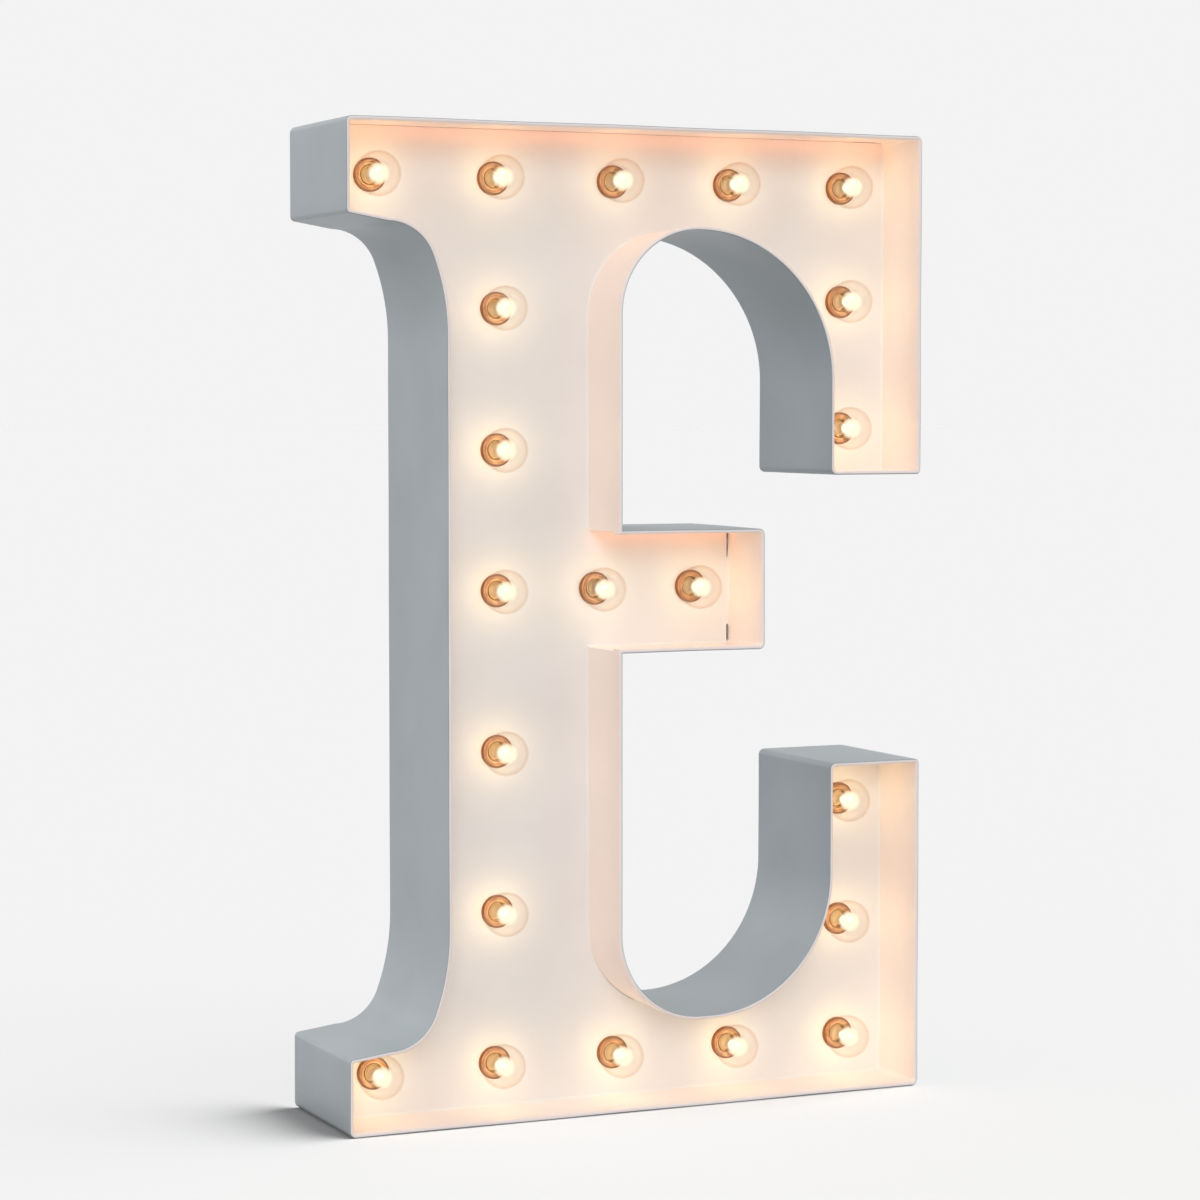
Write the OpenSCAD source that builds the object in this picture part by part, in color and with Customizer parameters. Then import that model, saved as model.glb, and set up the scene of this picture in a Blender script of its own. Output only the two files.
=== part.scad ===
// Light-up marquee letter E: a sheet metal letter with deep side walls, a sunk face
// carrying rows of clear globe lamps, and a battery box and rocker switch on its back.
//
// Everything is drawn with the letter lying on its back: x to the right, y up the letter,
// z towards the viewer, with the front of the lit face at z = 0. stand() then sets it upright,
// with the front rim facing -Y, the foot on z = 0 and the origin under the middle of the letter.

/* [Letter] */
// Height of the letter
letter_h = 610; // [570:1:680]
// Width over the serifs
letter_w = 390; // [375:1:430]
// Depth of the side walls, front rim to back rim
letter_d = 100; // [94:1:130]
// Depth of the lit face behind the front rim
face_recess = 50; // [42:1:55]
// Thickness of the sheet metal
sheet_t = 1; // [0.8:0.1:1.4]
// Outside radius of the bent corners
bend_r = 4; // [3.5:0.5:8]
// Thickness of the folded front rim
hem_t = 2.4; // [1.8:0.1:3]
// Depth of the fold behind the front rim
hem_depth = 9; // [6:1:14]

/* [Strokes] */
// Left edge of the letter to the stem
stem_inset = 64; // [58:1:70]
// Width of the stem
stem_w = 116; // [108:1:130]
// Height of the top bar at the crown of the arch
top_bar_h = 63; // [58:1:72]
// Height of the bottom bar
bottom_bar_h = 57; // [54:1:66]
// Height of the middle bar
mid_bar_h = 76; // [66:1:90]
// Height of the middle bar's centre line above the foot
mid_bar_y = 324; // [300:1:340]
// Reach of the middle bar from the stem
mid_bar_reach = 98.5; // [90:0.5:110]
// Width of the two right serifs
serif_w = 65; // [60:1:74]
// Length of the upper right serif
upper_serif_l = 215; // [190:1:230]
// Length of the lower right serif
lower_serif_l = 212; // [190:1:230]
// Height of the upper left serif at its tip
upper_tip_h = 58; // [52:1:62]
// Height of the lower left serif at its tip
lower_tip_h = 48; // [42:1:54]
// Height of the upper left serif where its bracket starts
upper_shoulder_h = 62; // [58:1:70]
// Height of the lower left serif where its bracket starts
lower_shoulder_h = 51; // [46:1:60]

/* [Curves] */
// Radius of a bracket beside its serif
bracket_r = 30; // [24:1:36]
// Radius of a bracket's long tail along the stem
bracket_tail_r = 138; // [120:1:150]
// Angle that a bracket turns before its tail starts
bracket_turn = 69; // [66:1:74]
// Radius of the upper opening beside the stem
upper_stem_r = 52; // [40:1:60]
// Radius of the upper opening beside the serif
upper_serif_r = 92; // [70:1:100]
// Radius of the lower opening beside the stem
lower_stem_r = 54; // [40:1:60]
// Radius of the lower opening beside the serif
lower_serif_r = 84; // [70:1:95]

/* [Lamps] */
// Ends of the lamp rows to the sides of the letter
lamp_row_end = 33; // [30:1:38]
// Stem's left side to its line of lamps
stem_lamp_inset = 52; // [46:1:58]
// Top row of lamps down to the first lamp of the stem
stem_lamp_drop = 80; // [70:1:90]
// Bottom row of lamps up to the first lamp of the stem
stem_lamp_rise = 95; // [80:1:100]
// Top row of lamps down to the next lamp of the right serif
serif_lamp_drop = 73; // [65:1:80]
// Bottom row of lamps up to the next lamp of the right serif
serif_lamp_rise = 75.5; // [65:0.5:85]
// Last lamp of a right serif or the middle bar to the end wall
lamp_end = 29; // [26:1:34]
// Diameter of a glass globe
globe_d = 28; // [24:1:32]
// Globe's centre in front of the face
globe_reach = 16; // [15:0.5:18]
// Thickness of the glass
glass_t = 0.7; // [0.5:0.1:1]
// Outside radius of a lampholder's collar
collar_r = 10.4; // [9.6:0.1:12]
// Height of a collar in front of the face
collar_h = 3; // [2:0.1:3.2]
// Radius of a lampholder's body
holder_r = 8.2; // [7.8:0.1:8.8]
// Depth of a lampholder behind the face
holder_depth = 20; // [18:0.5:21]
// Radius of a lampholder's bore
holder_bore_r = 6.2; // [6:0.1:6.8]
// Thickness of a lampholder's end wall
holder_end_t = 3.5; // [2.5:0.1:5]
// Radius of a brass lamp cap
cap_r = 5.9; // [5.4:0.1:5.9]
// Thickness of a retaining ring
ring_h = 4; // [2.5:0.5:6]
// Radius of a terminal post
post_r = 2; // [1.5:0.1:2.4]
// Radius of an insulated wire
wire_r = 0.9; // [0.6:0.1:1]

/* [Back] */
// Back rim to the outside of the back cover
cover_inset = 9; // [8:0.5:12]
// Distance between the two hanging keyholes
keyhole_spacing = 162; // [120:1:240]
// Top of the letter to the keyholes' round entries
keyhole_drop = 38; // [34:1:44]
// Radius of a keyhole's round entry
keyhole_r = 5; // [4:0.1:6]
// Radius of a keyhole's slot
keyhole_slot_r = 2.3; // [1.8:0.1:2.6]
// Length of a keyhole's slot
keyhole_slot_l = 11; // [8:1:14]
// Width of the welded tabs
tab_w = 16; // [12:1:20]
// Length of a tab's leg along the wall
tab_leg = 12; // [8:1:14]
// Length of a tab's leg across the sheet
tab_reach = 14; // [11:1:15]
// Radius of the screws' shanks
screw_r = 1.45; // [1.2:0.05:1.6]
// Radius of the screws' heads
screw_head_r = 2.8; // [2.4:0.1:3.4]
// Height of the screws' heads
screw_head_h = 1.8; // [1.2:0.1:2.4]
// Length of the screws' shanks
screw_l = 8; // [5:0.5:10]

/* [Battery box and switch] */
// Radius of a cell
cell_r = 7.1; // [6.9:0.1:7.3]
// Length of a cell with its button
cell_l = 50.5; // [49:0.5:52]
// Room for a contact at each end of a cell
contact_room = 2.2; // [1.6:0.1:3]
// Wall of the battery box
box_t = 1.6; // [1.2:0.1:2.2]
// Thickness of the flange that rests on the cover
flange_t = 1.5; // [1.2:0.1:1.8]
// Thickness of the sliding door
door_t = 1.8; // [1.4:0.1:2]
// Stem's right side to the middle of the battery box and the switch
power_inset = 30; // [28:1:33]
// Middle bar's centre line down to the switch
switch_drop = 50; // [46:1:60]
// Middle bar's centre line down to the middle of the battery box
box_drop = 150; // [140:1:165]
// Radius of the switch rocker
rocker_r = 7.5; // [6:0.1:7.8]
// Width of the switch rocker
rocker_w = 9.5; // [8:0.1:10]
// Turn of the rocker from its middle to each end
rocker_turn = 11; // [8:1:12]

/* [Hidden] */
$fn = 64;

// Clearances between pieces: a fit without play, a loose fit, and the open gap round a sheet
close_fit = 0.1;
loose_fit = 0.3;
pin_fit = 0.05;
sheet_gap = 0.4;

// Edges of the strokes
half_w = letter_w / 2;
stem_left = -half_w + stem_inset;
stem_right = stem_left + stem_w;
serif_left = half_w - serif_w;
mid_top = mid_bar_y + mid_bar_h / 2;
mid_bottom = mid_bar_y - mid_bar_h / 2;
mid_end = stem_right + mid_bar_reach;
arch_top = letter_h - top_bar_h;
upper_serif_end = letter_h - upper_serif_l;
lower_serif_end = lower_serif_l;
opening_w = serif_left - stem_right;

// Depths, from the front rim to the back rim
front_z = face_recess;
face_back_z = -sheet_t;
back_z = face_recess - letter_d;
cover_back_z = back_z + cover_inset;
cover_front_z = cover_back_z + sheet_t;

// Outline of the letter, clockwise as seen from the front, in six strips that meet at seams
right = [1, 0];
left = [-1, 0];
up = [0, 1];
down = [0, -1];
bend_steps = 5;
arc_step = 5;

function arc(centre, r, from, to) =
    let (n = max(2, round(abs(to - from) / arc_step)))
    [for (i = [0 : n]) let (a = from + (to - from) * i / n) centre + r * [cos(a), sin(a)]];

function bend(corner, from, to) =
    let (centre = corner + bend_r * (to - from))
    [for (i = [0 : bend_steps]) let (a = 90 * i / bend_steps)
        centre + bend_r * (sin(a) * from - cos(a) * to)];

// Bracket between a serif and the stem, drawn as on the lower left: a small arc and a long tail
bracket_left = stem_left - bracket_tail_r + (bracket_tail_r - bracket_r) * sin(bracket_turn);
bracket_split = 270 + bracket_turn;
tail_centre = [stem_left - bracket_tail_r,
               bracket_r + (bracket_tail_r - bracket_r) * cos(bracket_turn)];
bracket = concat(arc([bracket_left, bracket_r], bracket_r, 270, bracket_split),
                 arc(tail_centre, bracket_tail_r, bracket_split, 360));

function raised(points, y) = [for (p = points) [p.x, y + p.y]];
function hung(points, y) = [for (i = [len(points) - 1 : -1 : 0]) [points[i].x, y - points[i].y]];

upper_stem_arc_r = min(upper_stem_r, opening_w / 2);
upper_serif_arc_r = min(upper_serif_r, opening_w - upper_stem_arc_r);
lower_stem_arc_r = min(lower_stem_r, opening_w / 2);
lower_serif_arc_r = min(lower_serif_r, opening_w - lower_stem_arc_r);

top_strip = concat(
    [[-half_w, letter_h - upper_tip_h]],
    bend([-half_w, letter_h], up, right),
    bend([half_w, letter_h], right, down));
upper_strip = concat(
    [[half_w, upper_serif_end]],
    bend([serif_left, upper_serif_end], left, up),
    arc([serif_left - upper_serif_arc_r, arch_top - upper_serif_arc_r], upper_serif_arc_r, 0, 90),
    arc([stem_right + upper_stem_arc_r, arch_top - upper_stem_arc_r], upper_stem_arc_r, 90, 180));
middle_strip = concat(
    [[stem_right, mid_top]],
    bend([mid_end, mid_top], right, down),
    bend([mid_end, mid_bottom], down, left));
lower_strip = concat(
    [[stem_right, mid_bottom]],
    arc([stem_right + lower_stem_arc_r, bottom_bar_h + lower_stem_arc_r], lower_stem_arc_r, 180, 270),
    arc([serif_left - lower_serif_arc_r, bottom_bar_h + lower_serif_arc_r], lower_serif_arc_r, 270, 360),
    bend([serif_left, lower_serif_end], up, right));
bottom_strip = concat(
    [[half_w, lower_serif_end]],
    bend([half_w, 0], down, left),
    bend([-half_w, 0], left, up));
stem_strip = concat(
    [[-half_w, lower_tip_h]],
    raised(bracket, lower_shoulder_h),
    hung(bracket, letter_h - upper_shoulder_h));

// A strip's points without the doubled ones where two arcs meet
same_point = 0.01;
function distinct(points) =
    [for (i = [0 : len(points) - 1])
        if (i == 0 || norm(points[i] - points[i - 1]) > same_point) points[i]];

strips = [for (s = [top_strip, upper_strip, middle_strip, lower_strip, bottom_strip, stem_strip])
    distinct(s)];
outline = [for (s = strips) each s];
corner_count = len(outline);
function strip_start(k) = k == 0 ? 0 : strip_start(k - 1) + len(strips[k - 1]);

// The outline moved inwards by d, with mitred corners
function inward(a, b) = let (v = (b - a) / norm(b - a)) [v.y, -v.x];
function inset(d) =
    [for (i = [0 : corner_count - 1])
        let (p = outline[i])
        let (n_in = inward(outline[(i + corner_count - 1) % corner_count], p))
        let (n_out = inward(p, outline[(i + 1) % corner_count]))
        p + d * (n_in + n_out) / (1 + n_in * n_out)];

// Lamps: the top row, the upper serif, the stem, the middle bar, the lower serif, the bottom row
row_count = 5;
row_pitch = (letter_w - 2 * lamp_row_end) / (row_count - 1);
row_x = [for (i = [0 : row_count - 1]) -half_w + lamp_row_end + i * row_pitch];
top_row_y = letter_h - top_bar_h / 2;
bottom_row_y = bottom_bar_h / 2;
serif_lamp_x = row_x[row_count - 1];
stem_lamp_x = stem_left + stem_lamp_inset;
stem_top_y = top_row_y - stem_lamp_drop;
stem_bottom_y = bottom_row_y + stem_lamp_rise;
mid_lamp_x = mid_end - lamp_end;
stem_lamp_y = [stem_top_y, (stem_top_y + mid_bar_y) / 2, mid_bar_y,
               (mid_bar_y + stem_bottom_y) / 2, stem_bottom_y];
lamps = concat(
    [for (x = row_x) [x, top_row_y]],
    [[serif_lamp_x, top_row_y - serif_lamp_drop], [serif_lamp_x, upper_serif_end + lamp_end]],
    [for (y = stem_lamp_y) [stem_lamp_x, y]],
    [[(stem_lamp_x + mid_lamp_x) / 2, mid_bar_y], [mid_lamp_x, mid_bar_y]],
    [[serif_lamp_x, lower_serif_end - lamp_end], [serif_lamp_x, bottom_row_y + serif_lamp_rise]],
    [for (x = row_x) [x, bottom_row_y]]);
lamp_count = len(lamps);

// Lamps that a pair of wires links, numbered as in the list above
links = [[0, 1], [1, 2], [2, 3], [3, 4], [4, 5], [5, 6], [1, 7], [7, 8], [8, 9], [9, 12],
         [12, 13], [9, 10], [10, 11], [11, 17], [16, 17], [17, 18], [18, 19], [19, 20],
         [20, 15], [15, 14]];
supply_lamp = 9;
ground_lamp = 10;

// Parts of a lamp, in front of the face where z is positive
globe_r = globe_d / 2;
bore_floor_z = -holder_depth + holder_end_t;
contact_h = 0.8;
contact_r = 3;
cap_t = 0.5;
cap_end_t = 1;
cap_floor_z = bore_floor_z + contact_h;
cap_top_z = collar_h - cap_t;
neck_r = cap_r - cap_t - close_fit;
neck_end_z = -2;
mount_base_h = 1.5;
mount_post_r = 1.8;
core_r = 4;
core_setback = 5;
core_flat = 0.6;
core_z = globe_reach - core_setback;
core_seat_z = core_z - core_r + core_flat;
nut_wall = 4;
hole_r = holder_r + loose_fit;
collar_bevel = 1.2;

// Terminal posts: the supply and return wires run at their own depths, so they cross without touching
post_step = 4;
return_wire_gap = 2;
supply_wire_gap = 4.4;
supply_wire_z = -holder_depth - supply_wire_gap;
return_wire_z = -holder_depth - return_wire_gap;
lead_step = 2.3;
supply_post_z = supply_wire_z - lead_step - wire_r - close_fit;
return_post_z = return_wire_z - lead_step - wire_r - close_fit;
wire_dip = 4;
wire_steps = 6;
wire_sides = 8;

// Tabs: places on the walls' inner sides, each with the angle of the inward direction
tab_hole_margin = 4;
tab_hole = tab_reach - screw_r - tab_hole_margin;
mid_tab_drop = 16;
faces_down = -90;
faces_up = 90;
faces_right = 0;
faces_left = 180;
tab_columns = [row_x[0] + row_pitch / 2, row_x[2] + row_pitch / 2, row_x[3] + row_pitch / 2];
tab_places = concat(
    [for (x = tab_columns) [x, letter_h - sheet_t, faces_down]],
    [for (x = tab_columns) [x, sheet_t, faces_up]],
    [for (i = [0, 3]) [stem_left + sheet_t, (stem_lamp_y[i] + stem_lamp_y[i + 1]) / 2, faces_right]],
    [[half_w - sheet_t, (lamps[5].y + lamps[6].y) / 2, faces_left],
     [half_w - sheet_t, (lamps[14].y + lamps[15].y) / 2, faces_left],
     [mid_end - sheet_t, mid_top - mid_tab_drop, faces_left]]);

// Seam angles: strips of sheet bent round the corners where two wall strips meet
seam_reach = 16;
seam_clear = 3;

// Driver slots of the screws
screw_slot_w = 0.9;
screw_slot_depth = 0.8;

// Relief slits of the face beside the middle bar's end wall
relief_w = 1.2;
upper_relief_l = 20;
lower_relief_l = 13;

// Battery box, drawn on the back cover with z pointing out of the back
power_x = stem_right - power_inset;
box_y = mid_bar_y - box_drop;
switch_y = mid_bar_y - switch_drop;
cell_count = 2;
cell_pitch = 2 * cell_r + 2 * loose_fit;
bay_w = cell_count * cell_pitch;
bay_l = cell_l + 2 * contact_room;
cell_headroom = 1;
bay_depth = 2 * cell_r + cell_headroom;
bay_floor_z = flange_t - bay_depth;
cell_z = bay_floor_z + cell_r + close_fit;
button_r = 2.75;
button_h = 1.5;
contact_w = 9;
contact_t = 0.4;
boss_r = 2.2;
tag_w = 4;
tag_l = 5;
tag_t = 0.8;
door_lap = 2;
door_w = bay_w + 2 * door_lap;
door_l = bay_l + 2 * door_lap;
door_z = flange_t + loose_fit;
rail_t = 1.6;
rail_lip = 1.2;
rail_in = door_w / 2 + loose_fit;
rail_top_z = door_z + door_t + loose_fit + rail_lip;
stop_y = door_l / 2 + loose_fit;
ear_l = 10;
box_screw_x = bay_w / 4;
box_screw_y = stop_y + rail_t + ear_l / 2;
nut_side_t = 1.85;
nut_r = screw_r + nut_side_t;
nut_h = 2.2;
screw_tip_l = 1.5;
box_screw_l = flange_t + sheet_t + nut_h + screw_tip_l;
grip_r = 0.7;
grip_count = 3;
grip_pitch = 3.2;
grip_w = bay_w / 2;

// Switch, drawn on the back cover as the box is
bezel_t = 1.8;
bezel_lap = 1.2;
body_side_t = 1.3;
body_end_t = 1.6;
body_w = rocker_w + 2 * (loose_fit + body_side_t);
body_l = 2 * (rocker_r + loose_fit + body_end_t);
body_depth = 12;
pivot_z = -1;
pin_r = 1.2;
pin_l = 1;
rocker_rise = 3.2;
blade_w = 4.8;
blade_t = 0.8;
blade_l = 8;
blade_y = body_l / 4;

function bulb_name(i) = str("bulb_globe_", i < 9 ? "0" : "", i + 1);

module stand() {
    translate([0, face_recess - letter_d / 2, 0])
        rotate([90, 0, 0])
            children();
}

module layer(from, to) {
    translate([0, 0, from])
        linear_extrude(height = to - from)
            children();
}

module strip_band(k, depth) {
    first = strip_start(k);
    last = first + len(strips[k]);
    inner = inset(depth);
    outer_side = [for (i = [first : last]) outline[i % corner_count]];
    inner_side = [for (i = [last : -1 : first]) inner[i % corner_count]];
    polygon(concat(outer_side, inner_side));
}

module return_strip(k) {
    stand() {
        layer(back_z, front_z - hem_depth) strip_band(k, sheet_t);
        layer(front_z - hem_depth, front_z) strip_band(k, hem_t);
    }
}

module sheet_letter() {
    polygon(inset(sheet_t + sheet_gap));
}

module at_lamps() {
    stand()
        for (p = lamps)
            translate([p.x, p.y, 0])
                children();
}

module tube(centre_line) {
    n = wire_sides;
    count = len(centre_line);
    span = centre_line[count - 1] - centre_line[0];
    along = span / norm(span);
    u = cross(along, [0, 0, 1]) / norm(cross(along, [0, 0, 1]));
    v = cross(along, u);
    points = [for (c = centre_line) for (k = [0 : n - 1])
        c + wire_r * (cos(360 * k / n) * u + sin(360 * k / n) * v)];
    sides = [for (i = [0 : count - 2]) for (k = [0 : n - 1])
        let (a = i * n + k)
        let (b = i * n + (k + 1) % n)
        each [[a, a + n, b + n], [a, b + n, b]]];
    first_cap = [for (k = [1 : n - 2]) [0, k, k + 1]];
    last = (count - 1) * n;
    last_cap = [for (k = [1 : n - 2]) [last, last + k + 1, last + k]];
    polyhedron(points, concat(sides, first_cap, last_cap));
}

// A wire from a to b that leans towards the face by dip at its middle
module wire(a, b, dip) {
    tube([for (i = [0 : wire_steps])
        let (s = i / wire_steps)
        a + s * (b - a) + [0, 0, dip * pow(sin(180 * s), 2)]]);
}

function toward(a, b, reach) = a + reach * (b - a) / norm(b - a);
function supply_post(i) = lamps[i] + [post_step, post_step];
function return_post(i) = lamps[i] - [post_step, post_step];

module link_wire(a, b, z) {
    reach = post_r + close_fit;
    start = toward(a, b, reach);
    end = toward(b, a, reach);
    wire([start.x, start.y, z], [end.x, end.y, z], wire_dip);
}

module on_cover(x, y) {
    stand()
        translate([x, y, cover_back_z])
            rotate([0, 180, 0])
                children();
}

module centred_block(w, l, from, to) {
    translate([-w / 2, -l / 2, from])
        cube([w, l, to - from]);
}

module face_panel() {
    color("#f1e6dd")
        stand()
            difference() {
                layer(face_back_z, 0) sheet_letter();
                for (p = lamps)
                    translate([p.x, p.y, -2 * sheet_t])
                        cylinder(r = hole_r, h = 3 * sheet_t);
                relief_x = mid_end - sheet_t - sheet_gap - relief_w;
                translate([relief_x, mid_top - upper_relief_l, -2 * sheet_t])
                    cube([relief_w + sheet_t, upper_relief_l, 3 * sheet_t]);
                translate([relief_x, mid_bottom, -2 * sheet_t])
                    cube([relief_w + sheet_t, lower_relief_l, 3 * sheet_t]);
            }
}

module top_return() { color("#9aa1a4") return_strip(0); }
module upper_counter_return() { color("#8f979a") return_strip(1); }
module middle_bar_return() { color("#9aa1a4") return_strip(2); }
module lower_counter_return() { color("#8f979a") return_strip(3); }
module bottom_return() { color("#a3aaad") return_strip(4); }
module stem_return() { color("#949c9f") return_strip(5); }

module seam_angles() {
    color("#8a8f92")
        stand()
            layer(cover_front_z + seam_clear, face_back_z - seam_clear)
                for (k = [0 : len(strips) - 1])
                    intersection() {
                        difference() {
                            polygon(inset(sheet_t));
                            polygon(inset(2 * sheet_t));
                        }
                        translate(strips[k][0]) circle(r = seam_reach);
                    }
}

module tab_angle(from, to) {
    translate([0, -tab_w / 2, min(from, to)])
        cube([sheet_t, tab_w, abs(to - from)]);
    translate([0, -tab_w / 2, from < to ? from : from - sheet_t])
        cube([tab_reach, tab_w, sheet_t]);
}

module at_tabs() {
    stand()
        for (p = tab_places)
            translate([p.x, p.y, 0])
                rotate([0, 0, p.z])
                    children();
}

module face_tabs() {
    color("#8a8f92")
        at_tabs() tab_angle(face_back_z, face_back_z - tab_leg);
}

module cover_tabs() {
    color("#8a8f92")
        at_tabs()
            difference() {
                tab_angle(cover_front_z, cover_front_z + tab_leg);
                translate([tab_hole, 0, cover_front_z - sheet_t])
                    cylinder(r = screw_r + pin_fit, h = 3 * sheet_t);
            }
}

module keyhole() {
    translate([0, 0, cover_back_z - sheet_t]) {
        cylinder(r = keyhole_r, h = 3 * sheet_t);
        translate([0, keyhole_slot_l, 0])
            cylinder(r = keyhole_slot_r, h = 3 * sheet_t);
        translate([-keyhole_slot_r, 0, 0])
            cube([2 * keyhole_slot_r, keyhole_slot_l, 3 * sheet_t]);
    }
}

module back_cover() {
    cut_from = -2 * sheet_t;
    cut_to = sheet_t;
    color("#c9c8c4")
        difference() {
            stand()
                difference() {
                    layer(cover_back_z, cover_front_z) sheet_letter();
                    for (side = [-1, 1])
                        translate([side * keyhole_spacing / 2, letter_h - keyhole_drop, 0])
                            keyhole();
                }
            at_tabs()
                translate([tab_hole, 0, cover_back_z - sheet_t])
                    cylinder(r = screw_r + loose_fit, h = 3 * sheet_t);
            on_cover(power_x, box_y) {
                centred_block(bay_w + 2 * box_t + 2 * loose_fit, bay_l + 2 * box_t + 2 * loose_fit,
                              cut_from, cut_to);
                for (side = [-1, 1])
                    translate([side * box_screw_x, box_screw_y, cut_from])
                        cylinder(r = screw_r + loose_fit, h = cut_to - cut_from);
            }
            on_cover(power_x, switch_y)
                centred_block(body_w + 2 * loose_fit, body_l + 2 * loose_fit, cut_from, cut_to);
        }
}

// A slotted pan head screw with the underside of its head at z = 0 and its shank towards -z
module pan_screw(shank_l) {
    difference() {
        cylinder(r = screw_head_r, h = screw_head_h);
        translate([-2 * screw_head_r, -screw_slot_w / 2, screw_head_h - screw_slot_depth])
            cube([4 * screw_head_r, screw_slot_w, screw_head_h]);
    }
    translate([0, 0, -shank_l])
        cylinder(r = screw_r, h = shank_l);
}

module cover_screws() {
    color("#b9bcbe")
        at_tabs()
            translate([tab_hole, 0, cover_back_z])
                rotate([180, 0, 0])
                    pan_screw(screw_l);
}

module lampholders() {
    color("#b06a3c")
        at_lamps()
            rotate_extrude()
                difference() {
                    polygon([[0, -holder_depth], [holder_r, -holder_depth], [holder_r, 0],
                             [collar_r, 0], [collar_r, collar_h - collar_bevel],
                             [collar_r - collar_bevel, collar_h], [0, collar_h]]);
                    translate([0, bore_floor_z])
                        square([holder_bore_r, holder_depth + collar_h]);
                }
}

module retaining_rings() {
    color("#6d4a33")
        at_lamps()
            translate([0, 0, face_back_z - ring_h])
                difference() {
                    cylinder(r = holder_r + nut_wall, h = ring_h);
                    translate([0, 0, -ring_h])
                        cylinder(r = hole_r, h = 3 * ring_h);
                }
}

module post(place, end_z) {
    translate([place.x, place.y, end_z])
        cylinder(r = post_r, h = -holder_depth - end_z);
}

module terminal_posts() {
    color("#c9a44c")
        stand()
            for (i = [0 : lamp_count - 1]) {
                post(supply_post(i), supply_post_z);
                post(return_post(i), return_post_z);
            }
}

module centre_contacts() {
    color("#c9a44c")
        at_lamps()
            translate([0, 0, bore_floor_z])
                cylinder(r = contact_r, h = contact_h);
}

module bulb_caps() {
    color("#c79a45")
        at_lamps()
            translate([0, 0, cap_floor_z])
                difference() {
                    cylinder(r = cap_r, h = cap_top_z - cap_floor_z);
                    translate([0, 0, cap_end_t])
                        cylinder(r = cap_r - cap_t, h = cap_top_z - cap_floor_z);
                }
}

module bulb_section(r, neck, end) {
    translate([0, globe_reach]) circle(r = r);
    translate([-neck, end]) square([2 * neck, globe_reach - end]);
}

module bulb_globe(i) {
    color("#fff6e6", 0.35)
        stand()
            translate([lamps[i].x, lamps[i].y, 0])
                rotate_extrude()
                    intersection() {
                        difference() {
                            bulb_section(globe_r, neck_r, neck_end_z);
                            bulb_section(globe_r - glass_t, neck_r - glass_t, neck_end_z - glass_t);
                        }
                        translate([0, neck_end_z]) square([globe_r, globe_reach + globe_r - neck_end_z]);
                    }
}

module bulb_mounts() {
    color("#e8e2d4")
        at_lamps() {
            translate([0, 0, neck_end_z])
                cylinder(r = neck_r - glass_t - close_fit, h = mount_base_h);
            translate([0, 0, neck_end_z])
                cylinder(r = mount_post_r, h = core_seat_z - neck_end_z);
        }
}

module lamp_cores() {
    color("#fff3d0")
        at_lamps()
            intersection() {
                translate([0, 0, core_z]) sphere(r = core_r);
                translate([0, 0, core_seat_z]) cylinder(r = 2 * core_r, h = 4 * core_r);
            }
}

module supply_wires() {
    color("#a8372c")
        stand()
            for (k = links)
                link_wire(supply_post(k[0]), supply_post(k[1]), supply_wire_z);
}

module return_wires() {
    color("#2b2b2b")
        stand()
            for (k = links)
                link_wire(return_post(k[0]), return_post(k[1]), return_wire_z);
}

// Ends of the leads: the box's two solder tags, the switch's two blades and two lamps' posts
tag_end_y = box_y + bay_l / 2 + box_t + tag_l;
tag_z = cover_back_z - bay_floor_z - cell_r;
blade_end_z = cover_back_z + body_depth + blade_l;
lead_gap = 0.5;

function tag_end(side) = [power_x + side * cell_pitch / 2, tag_end_y + wire_r + close_fit, tag_z];
function blade_end(side) = [power_x, switch_y + side * blade_y, blade_end_z + lead_gap + wire_r];

module lead_to_post(from, place, z) {
    post_point = [place.x, place.y, z];
    level_from = [from.x, from.y, z];
    wire(from, toward(post_point, level_from, post_r + wire_r + lead_gap), 0);
}

module supply_leads() {
    color("#a8372c")
        stand() {
            wire(tag_end(1), blade_end(-1), 0);
            lead_to_post(blade_end(1), supply_post(supply_lamp), supply_wire_z - lead_step);
        }
}

module return_lead() {
    color("#2b2b2b")
        stand()
            lead_to_post(tag_end(-1), return_post(ground_lamp), return_wire_z - lead_step);
}

module rail() {
    translate([0, door_l / 2, 0])
        rotate([90, 0, 0])
            linear_extrude(height = door_l)
                polygon([[rail_in, flange_t], [rail_in + rail_t, flange_t],
                         [rail_in + rail_t, rail_top_z], [rail_in - rail_lip, rail_top_z],
                         [rail_in - rail_lip, rail_top_z - rail_lip],
                         [rail_in, rail_top_z - rail_lip]]);
}

module battery_box() {
    flange_w = 2 * (rail_in + rail_t);
    color("#2c2d2f")
        on_cover(power_x, box_y) {
            difference() {
                union() {
                    centred_block(bay_w + 2 * box_t, bay_l + 2 * box_t, bay_floor_z - box_t, flange_t);
                    translate([-flange_w / 2, -door_l / 2, 0])
                        cube([flange_w, door_l / 2 + stop_y + rail_t + ear_l, flange_t]);
                }
                centred_block(bay_w, bay_l, bay_floor_z, 2 * flange_t);
                for (side = [-1, 1])
                    translate([side * box_screw_x, box_screw_y, -flange_t])
                        cylinder(r = screw_r + loose_fit, h = 3 * flange_t);
            }
            rail();
            mirror([1, 0, 0]) rail();
            translate([-flange_w / 2, stop_y, flange_t])
                cube([flange_w, rail_t, rail_top_z - flange_t]);
        }
}

module battery_door() {
    color("#34363a")
        on_cover(power_x, box_y) {
            centred_block(door_w, door_l, door_z, door_z + door_t);
            for (i = [0 : grip_count - 1])
                translate([-grip_w / 2, (i + 2) * grip_pitch - door_l / 2, door_z + door_t])
                    rotate([0, 90, 0])
                        cylinder(r = grip_r, h = grip_w);
        }
}

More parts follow.
